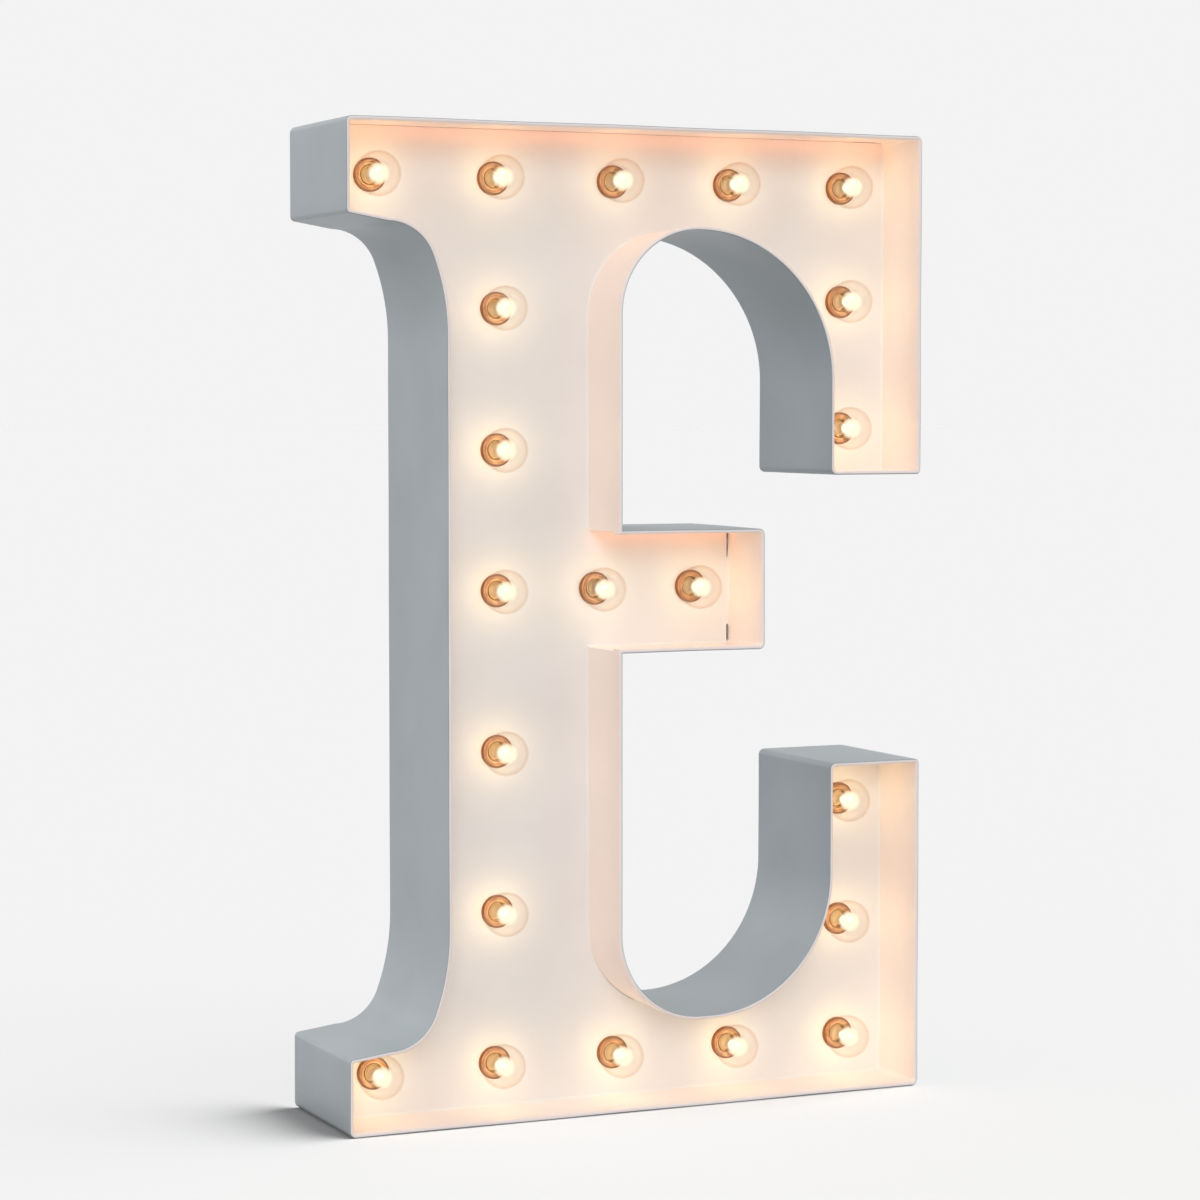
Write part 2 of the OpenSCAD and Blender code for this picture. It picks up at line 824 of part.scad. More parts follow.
module battery_cell(k) {
    side = 2 * k - 1;
    color(k == 0 ? "#4d5a66" : "#556370")
        on_cover(power_x, box_y)
            translate([side * cell_pitch / 2, -side * cell_l / 2, cell_z])
                rotate([-90 * side, 0, 0]) {
                    cylinder(r = cell_r, h = cell_l - button_h);
                    cylinder(r = button_r, h = cell_l);
                }
}

module battery_cell_1() { battery_cell(0); }
module battery_cell_2() { battery_cell(1); }

module contact_plate() {
    translate([-contact_w / 2, -contact_t, -contact_w / 2])
        cube([contact_w, contact_t, contact_w]);
    rotate([90, 0, 0])
        cylinder(r = boss_r, h = contact_room - close_fit);
}

module battery_contacts() {
    color("#c9ccce")
        on_cover(power_x, box_y)
            for (side = [-1, 1])
                translate([side * cell_pitch / 2, 0, cell_z]) {
                    translate([0, bay_l / 2, 0]) contact_plate();
                    translate([0, -bay_l / 2, 0]) rotate([180, 0, 0]) contact_plate();
                }
}

module battery_tags() {
    color("#c9ccce")
        on_cover(power_x, box_y)
            for (side = [-1, 1])
                translate([side * cell_pitch / 2 - tag_w / 2, bay_l / 2 + box_t,
                           bay_floor_z + cell_r - tag_t / 2])
                    cube([tag_w, tag_l, tag_t]);
}

module at_box_screws() {
    on_cover(power_x, box_y)
        for (side = [-1, 1])
            translate([side * box_screw_x, box_screw_y, 0])
                children();
}

module box_screws() {
    color("#b9bcbe")
        at_box_screws()
            translate([0, 0, flange_t])
                pan_screw(box_screw_l);
}

module box_nuts() {
    color("#a9adaf")
        at_box_screws()
            translate([0, 0, -sheet_t - nut_h])
                difference() {
                    cylinder(r = nut_r, h = nut_h, $fn = 6);
                    translate([0, 0, -nut_h])
                        cylinder(r = screw_r + pin_fit, h = 3 * nut_h);
                }
}

module across(r, l) {
    translate([-l / 2, 0, pivot_z])
        rotate([0, 90, 0])
            cylinder(r = r, h = l);
}

module switch_body() {
    well_r = rocker_r + loose_fit;
    well_w = rocker_w + 2 * loose_fit;
    color("#1f2022")
        on_cover(power_x, switch_y)
            difference() {
                union() {
                    centred_block(body_w, body_l, -body_depth, bezel_t);
                    centred_block(body_w + 2 * bezel_lap, body_l + 2 * bezel_lap, 0, bezel_t);
                }
                across(well_r, well_w);
                centred_block(well_w, 2 * well_r, pivot_z, 2 * bezel_t);
                across(pin_r + pin_fit, well_w + 2 * (pin_l + pin_fit));
            }
}

module rocker_half() {
    rotate([rocker_turn, 0, 0])
        translate([-rocker_w / 2, 0, -2 * rocker_r])
            cube([rocker_w, 2 * rocker_r, 2 * rocker_r + rocker_rise]);
}

module switch_rocker() {
    color("#26272a")
        on_cover(power_x, switch_y)
            translate([0, 0, pivot_z])
                rotate([rocker_turn, 0, 0])
                    translate([0, 0, -pivot_z]) {
                        intersection() {
                            across(rocker_r, rocker_w);
                            translate([0, 0, pivot_z])
                                union() {
                                    rocker_half();
                                    mirror([0, 1, 0]) rocker_half();
                                }
                        }
                        across(pin_r, rocker_w + 2 * loose_fit + 2 * pin_l);
                    }
}

module switch_blades() {
    color("#c9a44c")
        on_cover(power_x, switch_y)
            for (side = [-1, 1])
                translate([-blade_w / 2, side * blade_y - blade_t / 2, -body_depth - blade_l])
                    cube([blade_w, blade_t, blade_l]);
}

face_panel();
top_return();
upper_counter_return();
middle_bar_return();
lower_counter_return();
bottom_return();
stem_return();
seam_angles();
face_tabs();
cover_tabs();
back_cover();
cover_screws();
lampholders();
retaining_rings();
terminal_posts();
centre_contacts();
bulb_caps();
bulb_mounts();
lamp_cores();
supply_wires();
return_wires();
supply_leads();
return_lead();
battery_box();
battery_door();
battery_cell_1();
battery_cell_2();
battery_contacts();
battery_tags();
box_screws();
box_nuts();
switch_body();
switch_rocker();
switch_blades();
for (i = [0 : lamp_count - 1])
    bulb_globe(i);
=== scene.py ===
# %% [markdown]
# # A light-up marquee letter
# The object is a sheet metal letter E, 610 mm tall, with deep side walls round a sunk white face.
# Twenty-one clear globe lamps stand on the face, and a battery box and a switch sit on its back.
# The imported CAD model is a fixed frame. This lesson gives every piece of it a finish, and builds
# finer shapes for the pieces that the eye rests on: the walls with their rolled front rim, the
# lamp collars, the threaded caps and the glass.

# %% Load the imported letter
import math

import bmesh
import bpy
import numpy as np
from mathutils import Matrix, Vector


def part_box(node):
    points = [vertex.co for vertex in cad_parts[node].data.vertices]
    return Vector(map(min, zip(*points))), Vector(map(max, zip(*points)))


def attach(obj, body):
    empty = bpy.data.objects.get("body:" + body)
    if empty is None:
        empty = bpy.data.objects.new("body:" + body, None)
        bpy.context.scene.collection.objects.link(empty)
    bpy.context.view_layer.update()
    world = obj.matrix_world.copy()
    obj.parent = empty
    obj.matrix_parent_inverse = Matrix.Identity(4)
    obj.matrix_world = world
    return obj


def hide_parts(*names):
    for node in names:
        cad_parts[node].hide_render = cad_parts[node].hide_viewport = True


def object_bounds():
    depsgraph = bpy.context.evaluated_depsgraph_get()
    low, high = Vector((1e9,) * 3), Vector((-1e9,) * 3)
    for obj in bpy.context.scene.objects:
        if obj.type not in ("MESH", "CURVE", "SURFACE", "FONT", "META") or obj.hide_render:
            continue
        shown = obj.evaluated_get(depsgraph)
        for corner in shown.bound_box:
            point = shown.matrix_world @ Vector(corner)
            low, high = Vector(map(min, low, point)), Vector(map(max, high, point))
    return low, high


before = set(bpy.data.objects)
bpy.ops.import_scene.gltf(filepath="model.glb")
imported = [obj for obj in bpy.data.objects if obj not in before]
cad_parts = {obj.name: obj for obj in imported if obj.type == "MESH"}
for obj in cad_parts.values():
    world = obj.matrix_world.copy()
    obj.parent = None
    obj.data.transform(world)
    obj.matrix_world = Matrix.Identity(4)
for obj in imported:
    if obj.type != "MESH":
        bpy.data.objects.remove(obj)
cad_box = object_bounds()
print("CAD nodes:", len(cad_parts))
print("CAD box:", [[round(v, 4) for v in corner] for corner in cad_box])

# %% [markdown]
# ## Small tools
# Paint makers give colours as sRGB hex values, while a renderer adds up light, which is linear.
# One function does that conversion for every colour in the file. A second one adds a shader node,
# sets it and links it, so that a material reads as a short list of nodes. Patterns are measured in
# millimetres: Object coordinates are in metres, so a pattern of n mm needs a scale of 1000 / n.

# %% Colours, pattern sizes and nodes
MM = 0.001


def linear(hex_code):
    """sRGB hex to linear RGBA: c / 12.92 for dark values, ((c + 0.055) / 1.055) ** 2.4 for the rest."""
    c = np.array([int(hex_code[i : i + 2], 16) for i in (1, 3, 5)]) / 255
    return (*np.where(c <= 0.04045, c / 12.92, ((c + 0.055) / 1.055) ** 2.4).tolist(), 1.0)


def per_metre(size_mm):
    """The texture scale at which a pattern repeats about every size_mm."""
    return 1000 / size_mm


def add_node(tree, kind, settings=None, inputs=None):
    """Adds a node: settings are its properties, inputs are values or the sockets that feed it."""
    node = tree.nodes.new(kind)
    for name, value in (settings or {}).items():
        setattr(node, name, value)
    for name, value in (inputs or {}).items():
        if isinstance(value, bpy.types.NodeSocket):
            tree.links.new(value, node.inputs[name])
        else:
            node.inputs[name].default_value = value
    return node


print("mid grey is", [round(v, 3) for v in linear("#808080")])

# %% [markdown]
# ## A recipe for painted, plated and moulded surfaces
# Most finishes here have the same build: a colour that drifts a little from patch to patch, a gloss
# that drifts with it, and a fine grain that catches the light. The recipe takes those sizes in
# millimetres, so each finish below is a set of real measures and not a set of sliders.

# %% The recipe
# Blender's noise stays mostly between these two values.
PATCH_LOW, PATCH_HIGH = 0.32, 0.68
PATCH_DETAIL, GRAIN_DETAIL = 5.0, 2.0


def surface_material(
    name, dark, light, patch_mm, grain_mm, grain_depth_mm, roughness, spread, metallic=0.0
):
    """A material between two shades in patches of patch_mm. Its roughness drifts by spread either way,
    and its grain of grain_mm is grain_depth_mm deep."""
    material = bpy.data.materials.new(name)
    material.use_nodes = True
    tree = material.node_tree
    shader = tree.nodes["Principled BSDF"]
    shader.inputs["Metallic"].default_value = metallic
    place = add_node(tree, "ShaderNodeTexCoord").outputs["Object"]
    patches = add_node(
        tree,
        "ShaderNodeTexNoise",
        inputs={"Vector": place, "Scale": per_metre(patch_mm), "Detail": PATCH_DETAIL},
    )
    share = add_node(
        tree,
        "ShaderNodeMapRange",
        inputs={"Value": patches.outputs["Fac"], "From Min": PATCH_LOW, "From Max": PATCH_HIGH},
    )
    colour = add_node(
        tree,
        "ShaderNodeMix",
        {"data_type": "RGBA"},
        {0: share.outputs["Result"], 6: linear(dark), 7: linear(light)},
    )
    grain = add_node(
        tree,
        "ShaderNodeTexNoise",
        inputs={"Vector": place, "Scale": per_metre(grain_mm), "Detail": GRAIN_DETAIL},
    )
    gloss = add_node(
        tree,
        "ShaderNodeMapRange",
        inputs={
            "Value": patches.outputs["Fac"],
            "From Min": PATCH_LOW,
            "From Max": PATCH_HIGH,
            "To Min": roughness - spread,
            "To Max": roughness + spread,
        },
    )
    bump = add_node(
        tree,
        "ShaderNodeBump",
        inputs={"Height": grain.outputs["Fac"], "Distance": grain_depth_mm * MM, "Strength": 1.0},
    )
    tree.links.new(colour.outputs[2], shader.inputs["Base Color"])
    tree.links.new(gloss.outputs["Result"], shader.inputs["Roughness"])
    tree.links.new(bump.outputs["Normal"], shader.inputs["Normal"])
    return material


print("recipe ready")

# %% [markdown]
# ## Paint, plating and plastic
# The walls are steel sheet with a baked enamel: cool grey outside, a white inside that has the lamps'
# warm light painted into it, and a more neutral white on the face. Baked enamel flows before it sets,
# which leaves a faint orange peel of about 2 mm and a satin gloss. The back cover has a coarser powder
# coat. Inside parts are zinc plated steel, and the battery box is black ABS with the fine matt texture
# of a spark-eroded mould. The numbers of each finish are the sizes of patch and grain and the grain's
# depth, all in mm, then the roughness and its spread, and 1 at the end for a metal.

# %% Finishes of the sheet metal
# A cool grey with a soft sheen: a curved wall shows as a slow change of tone.
grey_enamel = surface_material("grey_baked_enamel", "#9ea6aa", "#aab2b6", 70, 2.2, 0.02, 0.42, 0.06)
# Nearly neutral, so that the colour on the face is the lamps' own.
white_enamel = surface_material("white_baked_enamel", "#ebe8e7", "#f2f0ef", 90, 2.4, 0.02, 0.40, 0.06)
# A shade warmer than the face: the lamps' warm light on the walls' inside, painted into the white.
enamel_painted_lamp_light = surface_material("baked_enamel_painted_lamp_light", "#f5e9e6", "#fcf1ee", 90, 2.4, 0.02, 0.40, 0.06)
# Paler and rougher: it scatters the light and shows no clear reflection.
cover_coat = surface_material("grey_powder_coat", "#b9b9b5", "#c8c8c4", 60, 1.1, 0.05, 0.55, 0.06)
# Blurred metal with light and dark patches, the spangle of zinc.
zinc_plate = surface_material("zinc_plated_steel", "#8e9498", "#b4babd", 9, 3.0, 0.01, 0.38, 0.08, 1.0)
# A clearer metal gloss with a faint yellow cast.
nickel_plate = surface_material("nickel_plated_steel", "#aaa79f", "#c4c1b8", 5, 0.8, 0.006, 0.28, 0.06, 1.0)
print("finishes of the sheet metal:", len(bpy.data.materials))

# %% Finishes of the lamps, the wiring and the battery box
# Warm yellow metal with a dull lustre.
brass = surface_material("rolled_brass", "#d8b070", "#ecca90", 6, 1.2, 0.006, 0.42, 0.08, 1.0)
# Chalky and pale, with no gloss.
cement = surface_material("tan_capping_cement", "#e2c4a0", "#eed4b4", 3, 0.5, 0.03, 0.80, 0.05)
# Dark brown with a low polish.
phenolic = surface_material("moulded_brown_phenolic", "#553723", "#6b4830", 6, 1.0, 0.01, 0.45, 0.06)
# Near black, with a fine matt grain.
black_abs = surface_material("moulded_black_abs", "#1b1c1e", "#26282b", 14, 0.7, 0.02, 0.50, 0.05)
# The two wire colours, smooth and slightly shiny.
black_pvc = surface_material("extruded_black_pvc", "#191919", "#242424", 12, 1.5, 0.01, 0.42, 0.05)
red_pvc = surface_material("extruded_red_pvc", "#94291f", "#a83a2e", 12, 1.5, 0.01, 0.42, 0.05)
# Blue grey and glossy, as film is that is shrunk tight on a can.
cell_film = surface_material("printed_cell_film", "#3f4c58", "#4e5c69", 30, 1.6, 0.008, 0.30, 0.05)
# Matt off-white ink.
mark_paint = surface_material("white_pad_print", "#dedbd4", "#ece9e3", 3, 0.4, 0.004, 0.55, 0.05)
print("finishes so far:", len(bpy.data.materials))

# %% [markdown]
# ## Battery cells
# A cell is a steel can in a printed film that is shrunk on and stops short of both ends. The two cells
# lie side by side and pointing opposite ways, so one band of film, measured from their common middle,
# fits both. Beyond it the same material turns to bare metal.

# %% Bare ends of the cells
CELL_MIDDLE_Z = sum(corner.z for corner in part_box("battery_cell_1")) / 2
FILM_HALF = 23.4 * MM
BARE_STEEL = "#b9b6af"
tree = cell_film.node_tree
shader = tree.nodes["Principled BSDF"]
on_the_cell = add_node(tree, "ShaderNodeTexCoord").outputs["Object"]
cell_z = add_node(tree, "ShaderNodeSeparateXYZ", inputs={"Vector": on_the_cell}).outputs["Z"]
from_middle = add_node(tree, "ShaderNodeMath", {"operation": "SUBTRACT"}, {0: cell_z, 1: CELL_MIDDLE_Z})
distance = add_node(tree, "ShaderNodeMath", {"operation": "ABSOLUTE"}, {0: from_middle.outputs[0]})
past_film = add_node(
    tree, "ShaderNodeMath", {"operation": "GREATER_THAN"}, {0: distance.outputs[0], 1: FILM_HALF}
)
bare = past_film.outputs[0]
film = shader.inputs["Base Color"].links[0].from_socket
can = add_node(tree, "ShaderNodeMix", {"data_type": "RGBA"}, {0: bare, 6: film, 7: linear(BARE_STEEL)})
tree.links.new(can.outputs[2], shader.inputs["Base Color"])
tree.links.new(bare, shader.inputs["Metallic"])
print("film covers", 2 * FILM_HALF, "m of a cell")

# %% [markdown]
# ## Copper collars
# Each lamp sits in a spun collar with a copper coloured lacquer. Spinning leaves fine rings round
# the axis, so the pattern has to follow the collar and not the room. The collar's UV map holds the
# turn in u and the length along the profile, in metres, in v: noise that is stretched along u
# draws rings. Real spinning marks are about 0.1 mm apart, and 0.4 mm is drawn so that they show.
# The outside of the rolled lip is painted brown as shade, which gives the collar its dark outline.
# The lip ends at a known length along the profile.

# %% Spun copper
RING_MM, RING_DEPTH, PATCHES_ROUND = 0.4, 0.02 * MM, 2.0
LIP_SHADE_END, BRIGHT_START = 33.4 * MM, 34.6 * MM
# The brown of the painted shade on the outside of the lip.
LIP_PAINTED_SHADE = "#a06c46"
# A warm orange metal with fine rings, and a painted shade in brown on the outside of the lip.
copper = surface_material("spun_copper_lacquer", "#d6a27a", "#efc8a2", 4, 1.0, 0.006, 0.38, 0.06, 1.0)
tree = copper.node_tree
shader = tree.nodes["Principled BSDF"]
collar_map = add_node(tree, "ShaderNodeUVMap", {"uv_map": "turned"}).outputs["UV"]
ring_scale = (PATCHES_ROUND, per_metre(RING_MM), 1.0)
stretched = add_node(tree, "ShaderNodeMapping", inputs={"Vector": collar_map, "Scale": ring_scale})
rings = add_node(tree, "ShaderNodeTexNoise", inputs={"Vector": stretched.outputs["Vector"], "Scale": 1.0})
ring_bump = add_node(
    tree,
    "ShaderNodeBump",
    inputs={"Height": rings.outputs["Fac"], "Distance": RING_DEPTH, "Strength": 1.0},
)
along = add_node(tree, "ShaderNodeSeparateXYZ", inputs={"Vector": collar_map}).outputs["Y"]
bright = add_node(
    tree, "ShaderNodeMapRange", inputs={"Value": along, "From Min": LIP_SHADE_END, "From Max": BRIGHT_START}
)
spun = shader.inputs["Base Color"].links[0].from_socket
# The painted shade on the lip's outside, mixed over the spun copper.
lacquer = add_node(
    tree,
    "ShaderNodeMix",
    {"data_type": "RGBA"},
    {0: bright.outputs["Result"], 6: linear(LIP_PAINTED_SHADE), 7: spun},
)
tree.links.new(lacquer.outputs[2], shader.inputs["Base Color"])
tree.links.new(ring_bump.outputs["Normal"], shader.inputs["Normal"])
print("copper nodes:", len(tree.nodes))

# %% [markdown]
# ## Blown glass and the lit core
# A globe's wall is under a millimetre thick and hardly bends what is behind it. It shows as a faint
# edge and as reflections. Ray traced refraction would also stop the lamp's own light, so the glass
# is a mirror coat over a clear film: mostly clear where it faces the eye, more mirror-like and a
# little darker towards the rim. The core is a bead with a filament's glow, in a frosted capsule that
# spreads it. The glow of both is strongest in the middle and fades to nothing before their rim, so
# neither has a hard edge.

# %% Glass
# With an even blend, Facing is 1 minus the cosine of the angle at which a surface is seen.
EVEN_BLEND, RIM_POWER = 0.5, 4.0
GLASS_MIDDLE, GLASS_RIM = "#fefdfc", "#f4ece6"
MIRROR_MIDDLE, MIRROR_RIM, MIRROR_BLUR = 0.02, 0.2, 0.03
# Clear, with a thin edge and small sharp reflections.
glass = bpy.data.materials.new("blown_clear_glass")
glass.use_nodes = True
tree = glass.node_tree
tree.nodes.clear()
facing = add_node(tree, "ShaderNodeLayerWeight", inputs={"Blend": EVEN_BLEND})
rim = add_node(tree, "ShaderNodeMath", {"operation": "POWER"}, {0: facing.outputs["Facing"], 1: RIM_POWER})
tint = add_node(
    tree,
    "ShaderNodeMix",
    {"data_type": "RGBA"},
    {0: rim.outputs["Value"], 6: linear(GLASS_MIDDLE), 7: linear(GLASS_RIM)},
)
clear = add_node(tree, "ShaderNodeBsdfTransparent", inputs={"Color": tint.outputs[2]})
mirror = add_node(
    tree, "ShaderNodeBsdfGlossy", inputs={"Color": linear("#ffffff"), "Roughness": MIRROR_BLUR}
)
reflecting = add_node(
    tree,
    "ShaderNodeMapRange",
    inputs={"Value": rim.outputs["Value"], "To Min": MIRROR_MIDDLE, "To Max": MIRROR_RIM},
)
both = add_node(
    tree,
    "ShaderNodeMixShader",
    inputs={0: reflecting.outputs["Result"], 1: clear.outputs["BSDF"], 2: mirror.outputs["BSDF"]},
)
add_node(tree, "ShaderNodeOutputMaterial", inputs={"Surface": both.outputs["Shader"]})
print("glass nodes:", len(tree.nodes))

# %% Glowing glass


def glowing_glass(name, colour, strength, cover, fade):
    """Frosted glass with a light in it. It hides what is behind it by the share cover in the middle, and
    by less and less towards its rim: nothing is left at the facing value fade."""
    material = bpy.data.materials.new(name)
    material.use_nodes = True
    tree = material.node_tree
    tree.nodes.clear()
    facing = add_node(tree, "ShaderNodeLayerWeight", inputs={"Blend": EVEN_BLEND})
    share = add_node(
        tree,
        "ShaderNodeMapRange",
        {"interpolation_type": "SMOOTHSTEP"},
        {"Value": facing.outputs["Facing"], "From Max": fade, "To Min": cover, "To Max": 0.0},
    )
    clear = add_node(tree, "ShaderNodeBsdfTransparent")
    glow = add_node(tree, "ShaderNodeEmission", inputs={"Color": linear(colour), "Strength": strength})
    both = add_node(
        tree,
        "ShaderNodeMixShader",
        inputs={0: share.outputs["Result"], 1: clear.outputs["BSDF"], 2: glow.outputs["Emission"]},
    )
    add_node(tree, "ShaderNodeOutputMaterial", inputs={"Surface": both.outputs["Shader"]})
    material.cycles.emission_sampling = "NONE"
    return material


# A near white spot that hides the stem behind it.
lit_bead = glowing_glass("frosted_lit_bead", "#ffefd6", strength=1.6, cover=1.0, fade=0.6)
# A cream veil round the spot.
frosted_glow = glowing_glass("frosted_glowing_glass", "#fff0d2", strength=1.3, cover=0.8, fade=0.45)
print("glowing glass:", lit_bead.name, "and", frosted_glow.name)

# %% [markdown]
# ## From arrays to meshes
# Every new shape is a grid of points worked out with numpy, so that a formula, and not a loop over
# vertices, makes it. A grid can close on itself along its rows or columns. Rings that shrink to a
# point, and the two sides of a closed seam, are merged afterwards, and the faces are turned outwards.

# %% Grid faces and finished pieces
MERGE_DISTANCE, SHARP_ANGLE = 1e-7, math.radians(32)


def grid_quads(rows, columns, wrap_columns=False):
    """Corner numbers of every quad of a grid: point (i, j) has the number i * columns + j."""
    i, j = np.meshgrid(
        np.arange(rows - 1), np.arange(columns if wrap_columns else columns - 1), indexing="ij"
    )
    next_j = (j + 1) % columns
    corners = [i * columns + j, i * columns + next_j, (i + 1) * columns + next_j, (i + 1) * columns + j]
    return np.stack(corners, axis=-1).reshape(-1, 4)


def make_piece(
    name, points, quads, materials, body, stands_for=(), quad_material=None, turned_uv=None
):
    """Puts points and quads into a mesh at the origin that rides on a body and stands for CAD nodes.
    Points that no quad uses are left out, and open ends are closed with one face each."""
    used, corners = np.unique(quads, return_inverse=True)
    mesh = bpy.data.meshes.new(name)
    mesh.from_pydata(points.reshape(-1, 3)[used].tolist(), [], corners.reshape(quads.shape).tolist())
    for material in materials:
        mesh.materials.append(material)
    if quad_material is not None:
        mesh.polygons.foreach_set("material_index", quad_material.astype(np.int32))
    if turned_uv is not None:
        layer = mesh.uv_layers.new(name="turned")
        layer.uv.foreach_set("vector", turned_uv.astype(np.float32).ravel())
    solid = bmesh.new()
    solid.from_mesh(mesh)
    bmesh.ops.remove_doubles(solid, verts=solid.verts, dist=MERGE_DISTANCE)
    bmesh.ops.holes_fill(solid, edges=solid.edges, sides=0)
    bmesh.ops.recalc_face_normals(solid, faces=solid.faces)
    solid.to_mesh(mesh)
    solid.free()
    mesh.shade_smooth()
    mesh.set_sharp_from_angle(angle=SHARP_ANGLE)
    piece = bpy.data.objects.new(name, mesh)
    bpy.context.scene.collection.objects.link(piece)
    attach(piece, body)
    if stands_for:
        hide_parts(*stands_for)
    return piece


print("a 3 x 4 grid has", len(grid_quads(3, 4)), "quads")

# %% [markdown]
# ## The outline of the letter
# The walls follow one closed line, clockwise as seen from the front, in six strips that meet at
# corner seams. Straight runs are joined by bends of 4 mm, the brackets of the left serifs are a
# small arc and a long tail, and each opening has two arcs of different size. The measures repeat
# those of the CAD source, in metres. The four outer seams are ground after welding, which takes
# the CAD model's sharp corner off: they get a bend of 3 mm, half of it on either strip.

# %% Measures of the outline
LETTER_H, HALF_W = 610 * MM, 195 * MM
FRONT_Y, BACK_Y = cad_box[0].y, cad_box[1].y
STEM_LEFT, STEM_RIGHT, SERIF_LEFT = -131 * MM, -15 * MM, 130 * MM
MID_TOP, MID_BOTTOM, MID_END = 362 * MM, 286 * MM, 83.5 * MM
ARCH_TOP, FLOOR_BAR_TOP = 547 * MM, 57 * MM
UPPER_SERIF_END, LOWER_SERIF_END = 395 * MM, 212 * MM
UPPER_TIP, LOWER_TIP = 552 * MM, 48 * MM
UPPER_SHOULDER, LOWER_SHOULDER = 548 * MM, 51 * MM
BEND_R, SEAM_R, BRACKET_R, TAIL_R, BRACKET_TURN = 4 * MM, 3 * MM, 30 * MM, 138 * MM, 69
UPPER_STEM_R, UPPER_SERIF_R = 52 * MM, 92 * MM
LOWER_STEM_R, LOWER_SERIF_R = 54 * MM, 84 * MM
RIGHT, LEFT, UP, DOWN = np.array([[1, 0], [-1, 0], [0, 1], [0, -1]])
print("letter:", 2 * HALF_W, "x", LETTER_H, "m, from y", round(FRONT_Y, 3), "to", round(BACK_Y, 3))

# %% Arcs, bends and the six strips
ARC_STEP, BEND_POINTS = 2.5, 9


def arc(centre, radius, start, end):
    """centre + radius * (cos a, sin a), for angles a in degrees from start to end."""
    a = np.radians(np.linspace(start, end, max(3, round(abs(end - start) / ARC_STEP) + 1)))
    return np.array(centre) + radius * np.stack([np.cos(a), np.sin(a)], axis=1)


def bend(corner, came, goes, radius=BEND_R):
    """A quarter circle that turns from direction came to direction goes, inside the corner."""
    a = np.radians(np.linspace(0, 90, BEND_POINTS))[:, None]
    return np.array(corner) + radius * (goes - came) + radius * (np.sin(a) * came - np.cos(a) * goes)


def seam(corner, came, goes):
    """A ground corner in two halves: the end of one strip, then the start of the next."""
    points = bend(corner, came, goes, SEAM_R)
    return points[: len(points) // 2], points[len(points) // 2 :]


bracket_turn = math.radians(BRACKET_TURN)
bracket_start = STEM_LEFT - TAIL_R + (TAIL_R - BRACKET_R) * math.sin(bracket_turn)
tail_centre = (STEM_LEFT - TAIL_R, BRACKET_R + (TAIL_R - BRACKET_R) * math.cos(bracket_turn))
bracket = np.concatenate(
    [
        arc((bracket_start, BRACKET_R), BRACKET_R, 270, 270 + BRACKET_TURN),
        arc(tail_centre, TAIL_R, 270 + BRACKET_TURN, 360),
    ]
)
stem_end, top_start = seam((-HALF_W, UPPER_TIP), LEFT, UP)
top_end, upper_start = seam((HALF_W, UPPER_SERIF_END), DOWN, LEFT)
lower_end, bottom_start = seam((HALF_W, LOWER_SERIF_END), RIGHT, DOWN)
bottom_end, stem_start = seam((-HALF_W, LOWER_TIP), UP, RIGHT)
strips = {
    "top": [
        top_start,
        bend((-HALF_W, LETTER_H), UP, RIGHT),
        bend((HALF_W, LETTER_H), RIGHT, DOWN),
        top_end,
    ],
    "upper_counter": [
        upper_start,
        bend((SERIF_LEFT, UPPER_SERIF_END), LEFT, UP),
        arc((SERIF_LEFT - UPPER_SERIF_R, ARCH_TOP - UPPER_SERIF_R), UPPER_SERIF_R, 0, 90),
        arc((STEM_RIGHT + UPPER_STEM_R, ARCH_TOP - UPPER_STEM_R), UPPER_STEM_R, 90, 180),
    ],
    "middle_bar": [
        [[STEM_RIGHT, MID_TOP]],
        bend((MID_END, MID_TOP), RIGHT, DOWN),
        bend((MID_END, MID_BOTTOM), DOWN, LEFT),
    ],
    "lower_counter": [
        [[STEM_RIGHT, MID_BOTTOM]],
        arc((STEM_RIGHT + LOWER_STEM_R, FLOOR_BAR_TOP + LOWER_STEM_R), LOWER_STEM_R, 180, 270),
        arc((SERIF_LEFT - LOWER_SERIF_R, FLOOR_BAR_TOP + LOWER_SERIF_R), LOWER_SERIF_R, 270, 360),
        bend((SERIF_LEFT, LOWER_SERIF_END), UP, RIGHT),
        lower_end,
    ],
    "bottom": [
        bottom_start,
        bend((HALF_W, 0), DOWN, LEFT),
        bend((-HALF_W, 0), LEFT, UP),
        bottom_end,
    ],
    "stem": [
        stem_start,
        bracket + (0, LOWER_SHOULDER),
        bracket[::-1] * (1, -1) + (0, UPPER_SHOULDER),
        stem_end,
    ],
}
strips = {name: np.concatenate(runs) for name, runs in strips.items()}
print("points per strip:", {name: len(points) for name, points in strips.items()})

# %% [markdown]
# ## Carrying a profile along the outline
# At each point of the line the inward direction is the mean of its two sides' normals, lengthened
# so that an offset keeps its distance from both sides: that is a mitre. Long straight runs get
# extra points, because the sheet is a little uneven there, as hand-formed sheet is.

# %% Inward directions and extra points
SAME_POINT = 0.01 * MM
WALL_STEP = 9 * MM


def distinct(points):
    """The points without those that lie on the one before."""
    steps = np.linalg.norm(np.diff(points, axis=0), axis=1)
    return points[np.r_[True, steps > SAME_POINT]]


def with_mitres(loop):
    """Points of a closed line with their mitres: (n1 + n2) / (1 + n1 . n2) of the two inward normals."""
    step = np.roll(loop, -1, axis=0) - loop
    step /= np.linalg.norm(step, axis=1, keepdims=True)
    after = np.stack([step[:, 1], -step[:, 0]], axis=1)
    before = np.roll(after, 1, axis=0)
    return np.hstack([loop, (before + after) / (1 + np.sum(before * after, axis=1, keepdims=True))])


